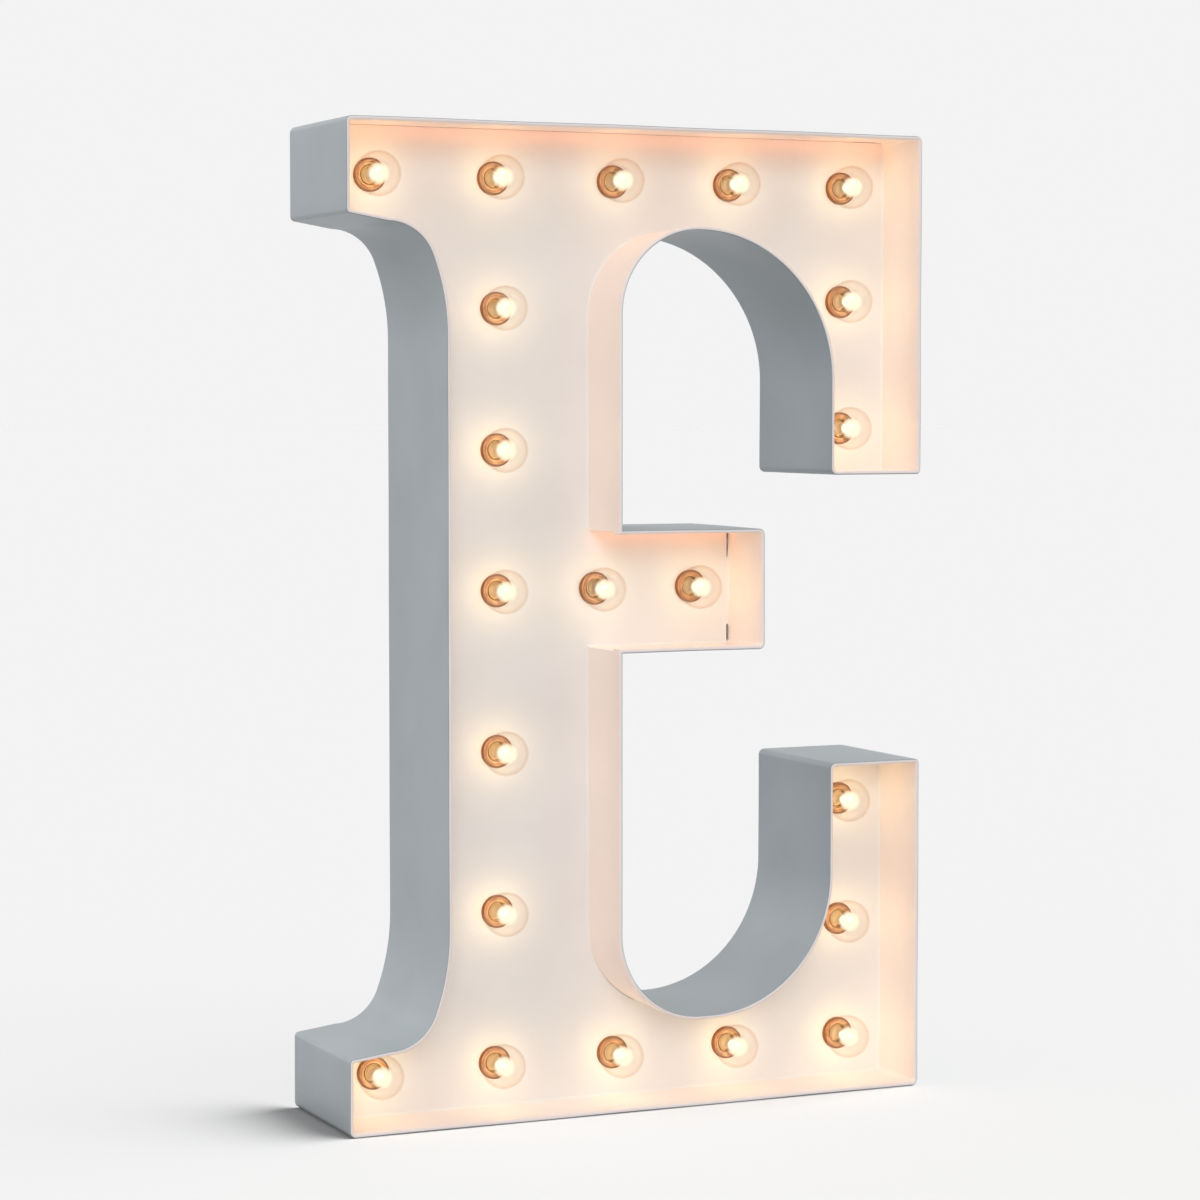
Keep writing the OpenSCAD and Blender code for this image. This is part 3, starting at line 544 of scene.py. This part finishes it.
def filled(knots, run_step):
    """Knots with more points between them, at every run_step along the line that isn't close to a knot."""
    at = np.r_[0, np.cumsum(np.linalg.norm(np.diff(knots[:, :2], axis=0), axis=1))]
    extra = np.arange(run_step, at[-1], run_step)
    extra = extra[np.abs(extra[:, None] - at).min(axis=1) > run_step / 3]
    s = np.sort(np.r_[at, extra])
    return s, np.stack([np.interp(s, at, column) for column in knots.T], axis=1)


strips = {name: distinct(points) for name, points in strips.items()}
outline = with_mitres(np.concatenate(list(strips.values())))
first = np.cumsum([0] + [len(points) for points in strips.values()])
paths = {}
for k, name in enumerate(strips):
    paths[name] = filled(outline[np.arange(first[k], first[k + 1] + 1) % len(outline)], WALL_STEP)
print("outline is", round(sum(s[-1] for s, _ in paths.values()), 3), "m long")

# %% [markdown]
# ## The walls
# A wall is one sheet, 1 mm thick, whose front edge is folded back on itself into a safe rolled rim
# of 2.4 mm. Its section is two functions of the depth behind the rim: where the outside is, and
# where the inside is. Grey enamel covers the outside, and a white with the lamps' warm light painted
# into it covers the rim and the inside, so each strip of faces gets its paint by its place in the
# section. The grey reaches a little way round the roll, which draws the fine grey line round the
# letter's pale rim.

# %% Section of a wall
DEPTH = BACK_Y - FRONT_Y
SHEET_T, HEM_T, HEM_DEPTH = 1 * MM, 2.4 * MM, 9 * MM
PAINT_EDGE, INSIDE_PAINT_END = 0.25 * MM, 54 * MM
FLAT_START, FLAT_ROWS, HEM_START, HEM_ROWS = 12 * MM, 12, 7 * MM, 3
FOLD_STEP, FOLD_ROUND, SAME_DEPTH = 0.3 * MM, 0.35 * MM, 0.1 * MM
rim_r = HEM_T / 2
depths = np.r_[
    np.linspace(DEPTH, FLAT_START, FLAT_ROWS),
    HEM_DEPTH + FOLD_STEP,
    HEM_DEPTH,
    HEM_DEPTH - FOLD_STEP,
    np.linspace(HEM_START, 2 * rim_r, HEM_ROWS),
    rim_r * (1 - np.sin(np.radians(np.linspace(0, 90, BEND_POINTS)))),
]
outside = rim_r - np.sqrt(np.clip(rim_r**2 - np.clip(rim_r - depths, 0, None) ** 2, 0, None))
hem_side = np.where(depths > HEM_DEPTH - SAME_DEPTH, HEM_T - FOLD_ROUND, HEM_T - outside)
inside = np.where(depths > HEM_DEPTH + SAME_DEPTH, SHEET_T, hem_side)
section_in = np.r_[outside, inside[::-1]]
section_depth = np.r_[depths, depths[::-1]]
print("section has", len(section_in), "points")

# %% Sweep the six walls
WAVE, WAVE_RUN, WAVE_DEPTH, WAVE_SHIFT = 0.3 * MM, 0.13, 0.16, 1.7
# The inside enamel has the lamps' warm light painted into it.
ENAMELS = [grey_enamel, enamel_painted_lamp_light]


def wall_points(s, path, phase):
    """Section carried along the path: place + inward offset * mitre, at front y + depth. The sheet sinks
    by up to WAVE in slow waves along its run and across its depth."""
    wave = WAVE / 4 * (1 + np.sin(2 * np.pi * s / WAVE_RUN + phase))[:, None]
    wave = wave * (1 + np.cos(2 * np.pi * section_depth / WAVE_DEPTH + 2 * phase))
    offset = section_in + wave
    across = path[:, :2, None] + offset[:, None, :] * path[:, 2:, None]
    y = np.broadcast_to(FRONT_Y + section_depth, offset.shape)
    return np.stack([across[:, 0], y, across[:, 1]], axis=-1)


side_points = len(depths)
section_points = 2 * side_points
row = np.arange(side_points - 1)
end_faces = np.stack([row, row + 1, section_points - 2 - row, section_points - 1 - row], axis=1)
is_inside = np.arange(section_points) >= side_points
white = np.where(is_inside, section_depth < INSIDE_PAINT_END, section_depth < PAINT_EDGE)
for k, (name, (s, path)) in enumerate(paths.items()):
    quads = grid_quads(len(s), section_points, wrap_columns=True)
    far_faces = end_faces + (len(s) - 1) * section_points
    paint = np.tile(white, len(s) - 1)
    end_paint = np.zeros(2 * len(end_faces))
    make_piece(
        name + "_wall",
        wall_points(s, path, WAVE_SHIFT * k),
        np.concatenate([quads, end_faces, far_faces]),
        ENAMELS,
        "letter",
        [name + "_return"],
        np.concatenate([paint, end_paint]),
    )
    print(name, "wall:", len(quads), "quads")

# %% [markdown]
# ## Paint in the corner of face and wall
# The face panel sits in the walls with a gap of 0.4 mm. Enamel runs into that corner before it is baked
# and fills it with a small hollow fillet, so hardly any line shows. It stays open at the two relief slits
# beside the middle bar's end, and where the paint has shrunk back: a short stretch under the top wall
# and another in the lower opening's curve. The fillet is a hollow quarter circle that is carried along
# the whole outline, in the stretches that are left between the open ones. It thins out towards them,
# and under the top wall it is so thin that a hairline of the gap shows.

# %% Fillet profile and open stretches
FACE_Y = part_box("face_panel")[0].y
FILLET_R, FILLET_STEP, FILLET_ROOT = 1.5 * MM, 1.5 * MM, 0.05 * MM
TAPER, THINNEST = 14 * MM, 0.3
HAIRLINE, HAIRLINE_ABOVE, HOLLOW_POINTS = 0.15, 609.5, 7
# Each stretch is a range of x and a range of z, in mm: the two slits, the top wall, the lower curve.
OPEN_STRETCHES = np.array(
    [
        [(83, 84), (351, 360)],
        [(83, 84), (289, 297)],
        [(164, 187), (609, 611)],
        [(-14, 16), (60, 94)],
    ]
)
hollow = np.radians(np.linspace(0, 90, HOLLOW_POINTS))
fillet_in = np.r_[-FILLET_ROOT, FILLET_R * (1 - np.cos(hollow)), -FILLET_ROOT]
fillet_out = np.r_[FILLET_R, FILLET_R * (1 - np.sin(hollow)), -FILLET_ROOT]
loop = np.concatenate([outline, outline[:1]])
run, fillet_path = filled(loop, FILLET_STEP)
path_x, path_z = fillet_path[:, :1] / MM, fillet_path[:, 1:2] / MM
(x_low, x_high), (z_low, z_high) = OPEN_STRETCHES.transpose(1, 2, 0)
is_open = ((path_x > x_low) & (path_x < x_high) & (path_z > z_low) & (path_z < z_high)).any(axis=1)
to_open = np.abs(run[:, None] - run[is_open]).min(axis=1)
thickness = np.clip(to_open / TAPER, THINNEST, 1)[:, None]
thickness = np.where(path_z > HAIRLINE_ABOVE, HAIRLINE, thickness)
print("fillet stations:", len(fillet_path), "of which open:", is_open.sum())

# %% Sweep the fillet
inward = SHEET_T + thickness * fillet_in
across = fillet_path[:, :2, None] + inward[:, None, :] * fillet_path[:, 2:, None]
fillet_points = np.stack([across[:, 0], FACE_Y - thickness * fillet_out, across[:, 1]], axis=-1)
fillet_width = len(fillet_in)
fillet_quads = grid_quads(len(fillet_path), fillet_width, wrap_columns=True).reshape(-1, fillet_width, 4)
fillet_quads = fillet_quads[~(is_open[:-1] | is_open[1:])].reshape(-1, 4)
make_piece("face_paint_fillet", fillet_points, fillet_quads, [white_enamel], "letter")
print("fillet quads:", len(fillet_quads))

# %% [markdown]
# ## Turned shapes for the lamps
# Collar, cap, glass and core are all turned: a profile of radius against height above the face,
# carried round the lamp's axis. The lamps' places come from the CAD globes. The threads of the cap
# are a ripple of the radius that climbs by one pitch in each turn. Profiles are lists of radius and
# height in millimetres.

# %% Turning a profile
globe_nodes = sorted(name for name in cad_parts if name.startswith("bulb_globe_"))
globe_boxes = np.array([[list(corner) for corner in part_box(name)] for name in globe_nodes])
lamp_places = globe_boxes.mean(axis=1) * (1, 0, 1)


def turned(profile_mm, steps, ripple=None):
    """x = r cos a, y = face - height, z = r sin a for each (r, height) of the profile. Returns the points,
    the quads and their UVs, u being the turn from 0 to 1 and v the length along the profile."""
    profile = np.array(profile_mm, float) * MM
    a = 2 * np.pi * np.arange(steps) / steps
    r = np.repeat(profile[:, :1], steps, axis=1)
    h = np.repeat(profile[:, 1:], steps, axis=1)
    if ripple is not None:
        r = r + ripple(h, a)
    points = np.stack([r * np.cos(a), FACE_Y - h, r * np.sin(a)], axis=-1)
    v = np.r_[0, np.cumsum(np.linalg.norm(np.diff(profile, axis=0), axis=1))]
    i, j = np.meshgrid(np.arange(len(v) - 1), np.arange(steps), indexing="ij")
    u = np.stack([j, j + 1, j + 1, j], axis=-1) / steps
    uv = np.stack([u, np.stack([v[i], v[i], v[i + 1], v[i + 1]], axis=-1)], axis=-1)
    return points.reshape(-1, 3), grid_quads(len(v), steps, wrap_columns=True), uv.reshape(-1, 4, 2)


def ball(radius, height, turns):
    """Profile of a ball: (radius sin t, height + radius cos t) for each angle t, which is 0 in front."""
    return np.stack([radius * np.sin(turns), height + radius * np.cos(turns)], axis=1)


def at_lamps(shape, places):
    """One turned shape repeated: its points moved to each place, its quads renumbered."""
    points, quads, uv = shape
    shift = len(points) * np.arange(len(places))[:, None, None]
    return (
        (points[None] + places[:, None]).reshape(-1, 3),
        (quads[None] + shift).reshape(-1, 4),
        np.tile(uv, (len(places), 1, 1)),
    )


print("lamps:", len(lamp_places))

# %% [markdown]
# ## Collars and caps
# The collar is a flange with a rolled lip and a shallow dish that leads down to the bore, in which
# the lamp's brass cap is screwed. The lip and the dish are what shows from the front: the dish
# gathers the lamp's own light and looks orange. In the cap's mouth shows the tan cement that
# holds a lamp's glass in its cap. The collar casts no shadow, because a real lamp shines from its
# whole globe, which is wider than the collar.

# %% Lamp collars
LIP_R, LIP_MIDDLE_R, LIP_MIDDLE_H, LIP_TURN, LIP_POINTS = 1.3, 9.1, 1.7, 150, 9
lip = np.radians(np.linspace(0, LIP_TURN, LIP_POINTS))
collar_profile = np.concatenate(
    [
        [(0, -20), (7.9, -20), (8.2, -19.7), (8.2, -0.1), (8.2, 0), (10.1, 0), (10.4, 0.3), (10.4, 1.7)],
        np.stack([LIP_MIDDLE_R + LIP_R * np.cos(lip), LIP_MIDDLE_H + LIP_R * np.sin(lip)], axis=1),
        [(7.6, 2.1), (7.0, 1.95), (6.5, 1.9), (6.25, 1.8), (6.2, 1.5), (6.2, -16.5), (0, -16.5)],
    ]
)
points, quads, uv = at_lamps(turned(collar_profile, steps=48), lamp_places)
collars = make_piece(
    "lamp_collars", points, quads, [copper], "letter", ["lampholders"], turned_uv=uv
)
collars.visible_shadow = False
print("collars:", len(quads), "quads")

# %% Threaded caps
PITCH, THREAD_DEPTH = 2.4 * MM, 0.14 * MM
CAP_R, CAP_LOW, CAP_HIGH, CAP_STEP = 5.7, -15, 1.01, 0.3
THREAD_LOW, THREAD_HIGH = -14.5 * MM, 0.6 * MM


def thread(h, a):
    """A wave of the radius, depth * cos(2 pi h / pitch - a), and none past the threaded length."""
    wave = THREAD_DEPTH * np.cos(2 * np.pi * h / PITCH - a)
    return wave * ((h > THREAD_LOW) & (h < THREAD_HIGH))


threaded = np.arange(CAP_LOW, CAP_HIGH, CAP_STEP)
cap_profile = np.concatenate(
    [
        [(0, -15.7), (4.6, -15.7), (5.5, -15.4)],
        np.stack([np.full_like(threaded, CAP_R), threaded], axis=1),
        [(5.7, 1.3), (5.9, 1.8), (5.9, 2.4), (5.75, 2.5), (5.45, 2.5), (5.4, 2.3), (5.4, -14.7), (0, -14.7)],
    ]
)
points, quads, _ = at_lamps(turned(cap_profile, steps=32, ripple=thread), lamp_places)
make_piece("lamp_caps", points, quads, [brass], "letter", ["bulb_caps"])
print("caps:", len(quads), "quads")

# %% Capping cement
cement_profile = [(0, -3.2), (5.2, -3.2), (5.4, -3.0), (5.4, -2.4), (5.0, -2.2), (2.5, -2.1), (0, -2.1)]
points, quads, _ = at_lamps(turned(cement_profile, steps=32), lamp_places)
make_piece("lamp_cement", points, quads, [cement], "letter")
print("cement:", len(quads), "quads")

# %% [markdown]
# ## Globes, stems and cores
# A globe is a sphere of 28 mm that runs into its neck through a soft shoulder, with an inner wall
# 0.7 mm inside the outer one. Under it stands the flared glass stem that carries the core. Clear and
# glowing pieces cast no shadow, so the light of a lamp reaches its own collar and the face.

# %% Glass globes
GLOBE_R, GLOBE_H, GLASS_T, BALL_TURN, BALL_POINTS = 14, 16, 0.7, 150, 31
down = np.radians(np.linspace(0, BALL_TURN, BALL_POINTS))
shoulder = [(6.25, 3.4), (5.75, 2.9), (5.42, 2.6), (5.3, 2.2), (5.3, 0), (5.3, -2)]
outer = np.concatenate([ball(GLOBE_R, GLOBE_H, down), shoulder])
inner_shoulder = [(4.6, -2), (4.6, 0), (4.6, 2.4), (4.8, 3.3), (5.4, 3.9)]
inner = ball(GLOBE_R - GLASS_T, GLOBE_H, down[::-1])
globe_profile = np.concatenate([outer, inner_shoulder, inner])
globe_profile[0, 0] = globe_profile[-1, 0] = 0
globe_shape = turned(globe_profile, steps=48)
for number, (node, place) in enumerate(zip(globe_nodes, lamp_places), start=1):
    points, quads, _ = at_lamps(globe_shape, place[None])
    globe = make_piece(f"globe_{number:02d}", points, quads, [glass], "letter", [node])
    globe.visible_shadow = False
print("globes:", len(globe_nodes), "with", len(globe_shape[1]), "quads each")

# %% Stems
CORE_SEAT = 7.6
stem_foot = [(0, -2), (4.3, -2), (4.45, -1.6), (4.3, -0.9), (3.2, 0), (2.2, 1.2), (1.75, 2.8)]
stem_top = [(1.6, 5.2), (1.5, 7.0), (1.2, 7.5), (0, CORE_SEAT)]
points, quads, _ = at_lamps(turned(stem_foot + stem_top, steps=24), lamp_places)
stems = make_piece("lamp_stems", points, quads, [glass], "letter", ["bulb_mounts"])
print("stems:", len(quads), "quads")

# %% Beads and capsules
CORE_R, CORE_H, CORE_POINTS = 4, 11, 18
seat = math.acos((CORE_SEAT - CORE_H) / CORE_R)
core_ball = ball(CORE_R, CORE_H, np.linspace(seat, 0, CORE_POINTS))
core_profile = np.concatenate([[(0, CORE_SEAT)], core_ball])
core_profile[-1, 0] = 0
points, quads, _ = at_lamps(turned(core_profile, steps=28), lamp_places)
beads = make_piece("lamp_beads", points, quads, [lit_bead], "letter", ["lamp_cores"])
CAPSULE_R, CAPSULE_H, CAPSULE_POINTS = 8.6, 17, 25
capsule_profile = ball(CAPSULE_R, CAPSULE_H, np.linspace(np.pi, 0, CAPSULE_POINTS))
capsule_profile[[0, -1], 0] = 0
points, quads, _ = at_lamps(turned(capsule_profile, steps=32), lamp_places)
capsules = make_piece("lamp_capsules", points, quads, [frosted_glow], "letter")
for lit in (stems, beads, capsules):
    lit.visible_shadow = False
print("no shadow from", stems.name, beads.name, capsules.name)

# %% [markdown]
# ## Marks on the switch and the door
# The rocker carries the usual line and ring for on and off, and the battery door an arrow for the
# way it slides. They are thin pads of white ink. Each is an outer line and an inner line, or one
# inner point, joined by a flat section and laid on its own face. The two faces of the rocker
# lie at an angle, so the ring is worked out on a tilted plane.

# %% Ink pads
INK_T = 0.08 * MM
PAD_ROWS = 5


def ink_pad(outer, inner):
    """(across, along, out) of a pad between two lines, as PAD_ROWS rows: its inner and outer edge at the
    bottom, its outer and inner edge at the top, and the first row again."""
    inner = np.broadcast_to(inner, outer.shape)
    lines = np.stack([inner, outer, outer, inner, inner])
    out = np.array([0, 0, INK_T, INK_T, 0])[:, None, None]
    return np.concatenate([lines, np.broadcast_to(out, (*lines.shape[:2], 1))], axis=-1)


def laid_on_back(pad, place, tilt=0.0):
    """A pad seen from the back: across runs to -X. It lies at its out distance from the place, about which
    it is turned by tilt: along' = along cos t - out sin t, out' = along sin t + out cos t."""
    along = pad[..., 1] * math.cos(tilt) - pad[..., 2] * math.sin(tilt)
    out = pad[..., 1] * math.sin(tilt) + pad[..., 2] * math.cos(tilt)
    return np.array(place) + np.stack([-pad[..., 0], out, along], axis=-1)


print("ink is", INK_T, "m thick")

# %% Rocker marks
ROCKER_PIVOT, ROCKER_RISE, ROCKER_TILT = (-45 * MM, 40 * MM, 274 * MM), 3.2 * MM, math.radians(22)
MARK_ALONG, RING_R, RING_HOLE_R = 3.6 * MM, 1.5 * MM, 1.0 * MM
LINE_HALF_W, LINE_HALF_L = 0.3 * MM, 1.5 * MM
# A circle that is blown up and clipped becomes a square with the same number of points.
CIRCLE_END, BLOW_UP = 350, 9
circle = arc((0, 0), 1.0, 0, CIRCLE_END)
square = np.clip(circle * BLOW_UP, -1, 1)
ring = ink_pad(circle * RING_R, circle * RING_HOLE_R) + (0, MARK_ALONG, ROCKER_RISE)
line = ink_pad(square * (LINE_HALF_W, LINE_HALF_L), (0, 0)) + (0, -MARK_ALONG, ROCKER_RISE)
marks = np.stack([laid_on_back(ring, ROCKER_PIVOT, ROCKER_TILT), laid_on_back(line, ROCKER_PIVOT)])
quads = grid_quads(PAD_ROWS, len(circle), wrap_columns=True)
quads = np.concatenate([quads, quads + PAD_ROWS * len(circle)])
make_piece("rocker_marks", marks, quads, [mark_paint], "rocker")
print("rocker marks:", len(quads), "quads")

# %% Door arrow
DOOR_PLACE = (-45 * MM, 44.6 * MM, 167 * MM)
NECK = -0.6
ARROW = np.array([(0, -4), (3, NECK), (1.1, NECK), (1.1, 4), (-1.1, 4), (-1.1, NECK), (-3, NECK)]) * MM
arrow = laid_on_back(ink_pad(ARROW, (0, NECK * MM)), DOOR_PLACE)
quads = grid_quads(PAD_ROWS, len(ARROW), wrap_columns=True)
make_piece("door_arrow", arrow, quads, [mark_paint], "door")
print("door arrow:", len(quads), "quads")

# %% [markdown]
# ## Finishes of the other CAD nodes
# The rest of the CAD nodes have the right shape already, so they keep it and get their finish here.

# %% Assign finishes
finishes = {
    white_enamel: ["face_panel"],
    cover_coat: ["back_cover"],
    zinc_plate: ["seam_angles", "face_tabs", "cover_tabs"],
    nickel_plate: ["cover_screws", "box_screws", "box_nuts", "battery_contacts", "battery_tags"],
    brass: ["terminal_posts", "centre_contacts", "switch_blades"],
    phenolic: ["retaining_rings"],
    red_pvc: ["supply_wires", "supply_leads"],
    black_pvc: ["return_wires", "return_lead"],
    black_abs: ["battery_box", "battery_door", "switch_body", "switch_rocker"],
    cell_film: ["battery_cell_1", "battery_cell_2"],
}
for material, names in finishes.items():
    for name in names:
        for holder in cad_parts[name].material_slots:
            holder.material = material
print("CAD nodes with a finish:", sum(len(names) for names in finishes.values()))

# %% [markdown]
# ## Studio
# The letter stands on a pale sweep that has no visible end. A soft dome of light fills it in, a key
# light comes from the upper left, a fill from beside the camera, a weaker light from the right, and
# two lights from behind reach the sides of the openings. The floor has a wide, soft light of its own
# from the front right. Only the lowest wall stops that one, so the shadow stays close to the foot, as
# a contact shadow does. The paper throws less light back at the letter than the camera sees on it.
# What it lacks to reach the background's value it gives off itself, but only to rays that the camera
# sees it by.

# %% Rays that show the backdrop
BACKDROP = "#f3f3f3"


def seen_directly(tree):
    """1 for camera, glossy and transmission rays, and 0 for the rays that carry light to other surfaces."""
    rays = add_node(tree, "ShaderNodeLightPath").outputs
    larger = {"operation": "MAXIMUM"}
    seen = add_node(tree, "ShaderNodeMath", larger, {0: rays["Is Camera Ray"], 1: rays["Is Glossy Ray"]})
    seen = add_node(tree, "ShaderNodeMath", larger, {0: seen.outputs[0], 1: rays["Is Transmission Ray"]})
    return seen.outputs[0]


print("backdrop:", BACKDROP)

# %% Dome
DOME = 0.33
world = bpy.data.worlds.new("studio")
bpy.context.scene.world = world
world.use_nodes = True
tree = world.node_tree
tree.nodes.clear()
dome = add_node(tree, "ShaderNodeBackground", inputs={"Color": linear("#ffffff"), "Strength": DOME})
backdrop = add_node(tree, "ShaderNodeBackground", inputs={"Color": linear(BACKDROP), "Strength": 1.0})
mixed = add_node(
    tree,
    "ShaderNodeMixShader",
    inputs={0: seen_directly(tree), 1: dome.outputs["Background"], 2: backdrop.outputs["Background"]},
)
add_node(tree, "ShaderNodeOutputWorld", inputs={"Surface": mixed.outputs["Shader"]})
print("dome strength:", DOME)

# %% Floor
PAPER_SEEN, PAPER_LIT, SHADOW_LIGHT = "#bcbcbc", "#8e8e8e", 1.33
FLOOR_HALF, FLOOR_DROP = 60.0, 0.2 * MM
floor_paper = surface_material("white_studio_paper", PAPER_LIT, PAPER_LIT, 2.0, 1.0, 0.01, 0.9, 0.05)
tree = floor_paper.node_tree
shader = tree.nodes["Principled BSDF"]
shader.inputs["Specular IOR Level"].default_value = 0.0
shader.inputs["Emission Color"].default_value = linear("#ffffff")
seen = seen_directly(tree)
paper = add_node(
    tree, "ShaderNodeMix", {"data_type": "RGBA"}, {0: seen, 6: linear(PAPER_LIT), 7: linear(PAPER_SEEN)}
)
tree.links.new(paper.outputs[2], shader.inputs["Base Color"])
lacking = linear(BACKDROP)[0] - linear(PAPER_SEEN)[0] * (DOME + SHADOW_LIGHT)
missing = add_node(tree, "ShaderNodeMath", {"operation": "MULTIPLY"}, {0: seen, 1: lacking})
tree.links.new(missing.outputs[0], shader.inputs["Emission Strength"])
floor_paper.cycles.emission_sampling = "NONE"
corners = np.array([[-1, -1, 0], [1, -1, 0], [1, 1, 0], [-1, 1, 0]]) * FLOOR_HALF - (0, 0, FLOOR_DROP)
floor_mesh = bpy.data.meshes.new("studio_floor")
floor_mesh.from_pydata(corners.tolist(), [], [(0, 1, 2, 3)])
floor_mesh.materials.append(floor_paper)
floor = bpy.data.objects.new("studio_floor", floor_mesh)
bpy.context.scene.collection.objects.link(floor)
print("floor is", 2 * FLOOR_HALF, "m wide")

# %% What a light reaches, and what stops it
only_the_floor = bpy.data.collections.new("only_the_floor")
only_the_floor.objects.link(floor)
off_the_floor = bpy.data.collections.new("off_the_floor")
off_the_floor.objects.link(floor)
off_the_floor.collection_objects[0].light_linking.link_state = "EXCLUDE"
low_walls = bpy.data.collections.new("low_walls")
low_walls.objects.link(bpy.data.objects["bottom_wall"])
print("light groups:", only_the_floor.name, off_the_floor.name, low_walls.name)

# %% Sun-like studio lights


def studio_light(name, turn, height, strength, spread, receivers, blockers=None):
    """A distant light, turn degrees right of the front and height degrees up, that lays strength * pi W/m2
    on a surface that faces it, from a disc of spread degrees. It lights the receivers alone, and where
    blockers are given nothing else casts its shadow."""
    light = bpy.data.lights.new(name, "SUN")
    light.energy = strength * math.pi
    light.angle = math.radians(spread)
    lamp = bpy.data.objects.new(name, light)
    lamp.rotation_euler = (math.radians(90 - height), 0, math.radians(turn))
    lamp.light_linking.receiver_collection = receivers
    lamp.light_linking.blocker_collection = blockers
    bpy.context.scene.collection.objects.link(lamp)
    print(name, "at", turn, "and", height, "degrees")


# Turn, height, strength and spread of the lights on the letter.
LETTER_LIGHTS = {
    "key_light": (-48, 53, 0.19, 45),
    "fill_light": (-20, 18, 0.25, 22),
    "right_light": (50, 35, 0.09, 40),
    "left_rear_light": (-130, 25, 0.24, 40),
    "top_rear_light": (180, 65, 0.15, 40),
}
for name, measures in LETTER_LIGHTS.items():
    studio_light(name, *measures, off_the_floor)
SHADOW_TURN, SHADOW_HEIGHT, SHADOW_SPREAD = 62, 40, 70
shadow_strength = SHADOW_LIGHT / math.sin(math.radians(SHADOW_HEIGHT))
shadow_measures = (SHADOW_TURN, SHADOW_HEIGHT, shadow_strength, SHADOW_SPREAD)
studio_light("shadow_light", *shadow_measures, only_the_floor, low_walls)

# %% [markdown]
# ## Lamps that are on
# A bulb's light is a warm white. Each gets a small point lamp at its globe's middle. They make the halos
# and the warm walls. Under the top wall and under the middle bar's top the studio light is shaded off,
# and the corner holds mostly lamp light that has been thrown to and fro between wall and face, which
# leaves it orange. A renderer follows that light for a few bounces only, so a dim strip helps out there.

# %% Lamp light
LAMP_OUT, LAMP_POWER, LAMP_SIZE, LAMP_COLOUR = 16 * MM, 0.0112, 5 * MM, "#ffdf9e"
for number, place in enumerate(lamp_places, start=1):
    light = bpy.data.lights.new(f"lamp_light_{number:02d}", "POINT")
    light.energy = LAMP_POWER
    light.color = linear(LAMP_COLOUR)[:3]
    light.shadow_soft_size = LAMP_SIZE
    lamp = bpy.data.objects.new(light.name, light)
    lamp.location = (place[0], FACE_Y - LAMP_OUT, place[2])
    lamp.visible_camera = False
    lamp.light_linking.receiver_collection = off_the_floor
    bpy.context.scene.collection.objects.link(lamp)
print("lamp power:", LAMP_POWER, "W each")

# %% Corner glow
GLOW_PER_METRE, GLOW_COLOUR = 0.0234, "#ff7e00"
GLOW_OUT, GLOW_DROP, GLOW_W, GLOW_TILT = 9 * MM, 3 * MM, 3 * MM, 65
for name, x_from, x_to, wall_z in [
    ("top_corner_glow", -HALF_W, HALF_W, LETTER_H),
    ("middle_corner_glow", STEM_RIGHT, MID_END, MID_TOP),
]:
    light = bpy.data.lights.new(name, "AREA")
    light.shape = "RECTANGLE"
    light.size, light.size_y = x_to - x_from, GLOW_W
    light.energy = GLOW_PER_METRE * (x_to - x_from)
    light.color = linear(GLOW_COLOUR)[:3]
    lamp = bpy.data.objects.new(name, light)
    lamp.location = ((x_from + x_to) / 2, FACE_Y - GLOW_OUT, wall_z - GLOW_DROP)
    lamp.rotation_euler = (math.radians(GLOW_TILT), 0, 0)
    lamp.visible_camera = False
    lamp.visible_glossy = False
    lamp.light_linking.receiver_collection = off_the_floor
    bpy.context.scene.collection.objects.link(lamp)
    print(name, round(light.energy, 4), "W")

# %% [markdown]
# ## Camera
# The camera stood to the left of the letter, at nearly three quarters of its height, with a long
# lens. Its place, turn, tilt and focal length were fitted to the letter's edges.

# %% Camera
CAMERA_PLACE, CAMERA_TURN, CAMERA_TILT = (-0.8868, -1.9358, 0.440), -24.417, -3.326
LENS_MM, SENSOR_MM = 101.42, 36
camera_data = bpy.data.cameras.new("camera")
camera_data.lens = LENS_MM
camera_data.sensor_width = SENSOR_MM
camera = bpy.data.objects.new("camera", camera_data)
camera.location = CAMERA_PLACE
camera.rotation_euler = (math.radians(90 + CAMERA_TILT), 0, math.radians(CAMERA_TURN))
bpy.context.scene.collection.objects.link(camera)
bpy.context.scene.camera = camera
bpy.context.scene.view_settings.view_transform = "Standard"
print("camera at", CAMERA_PLACE)
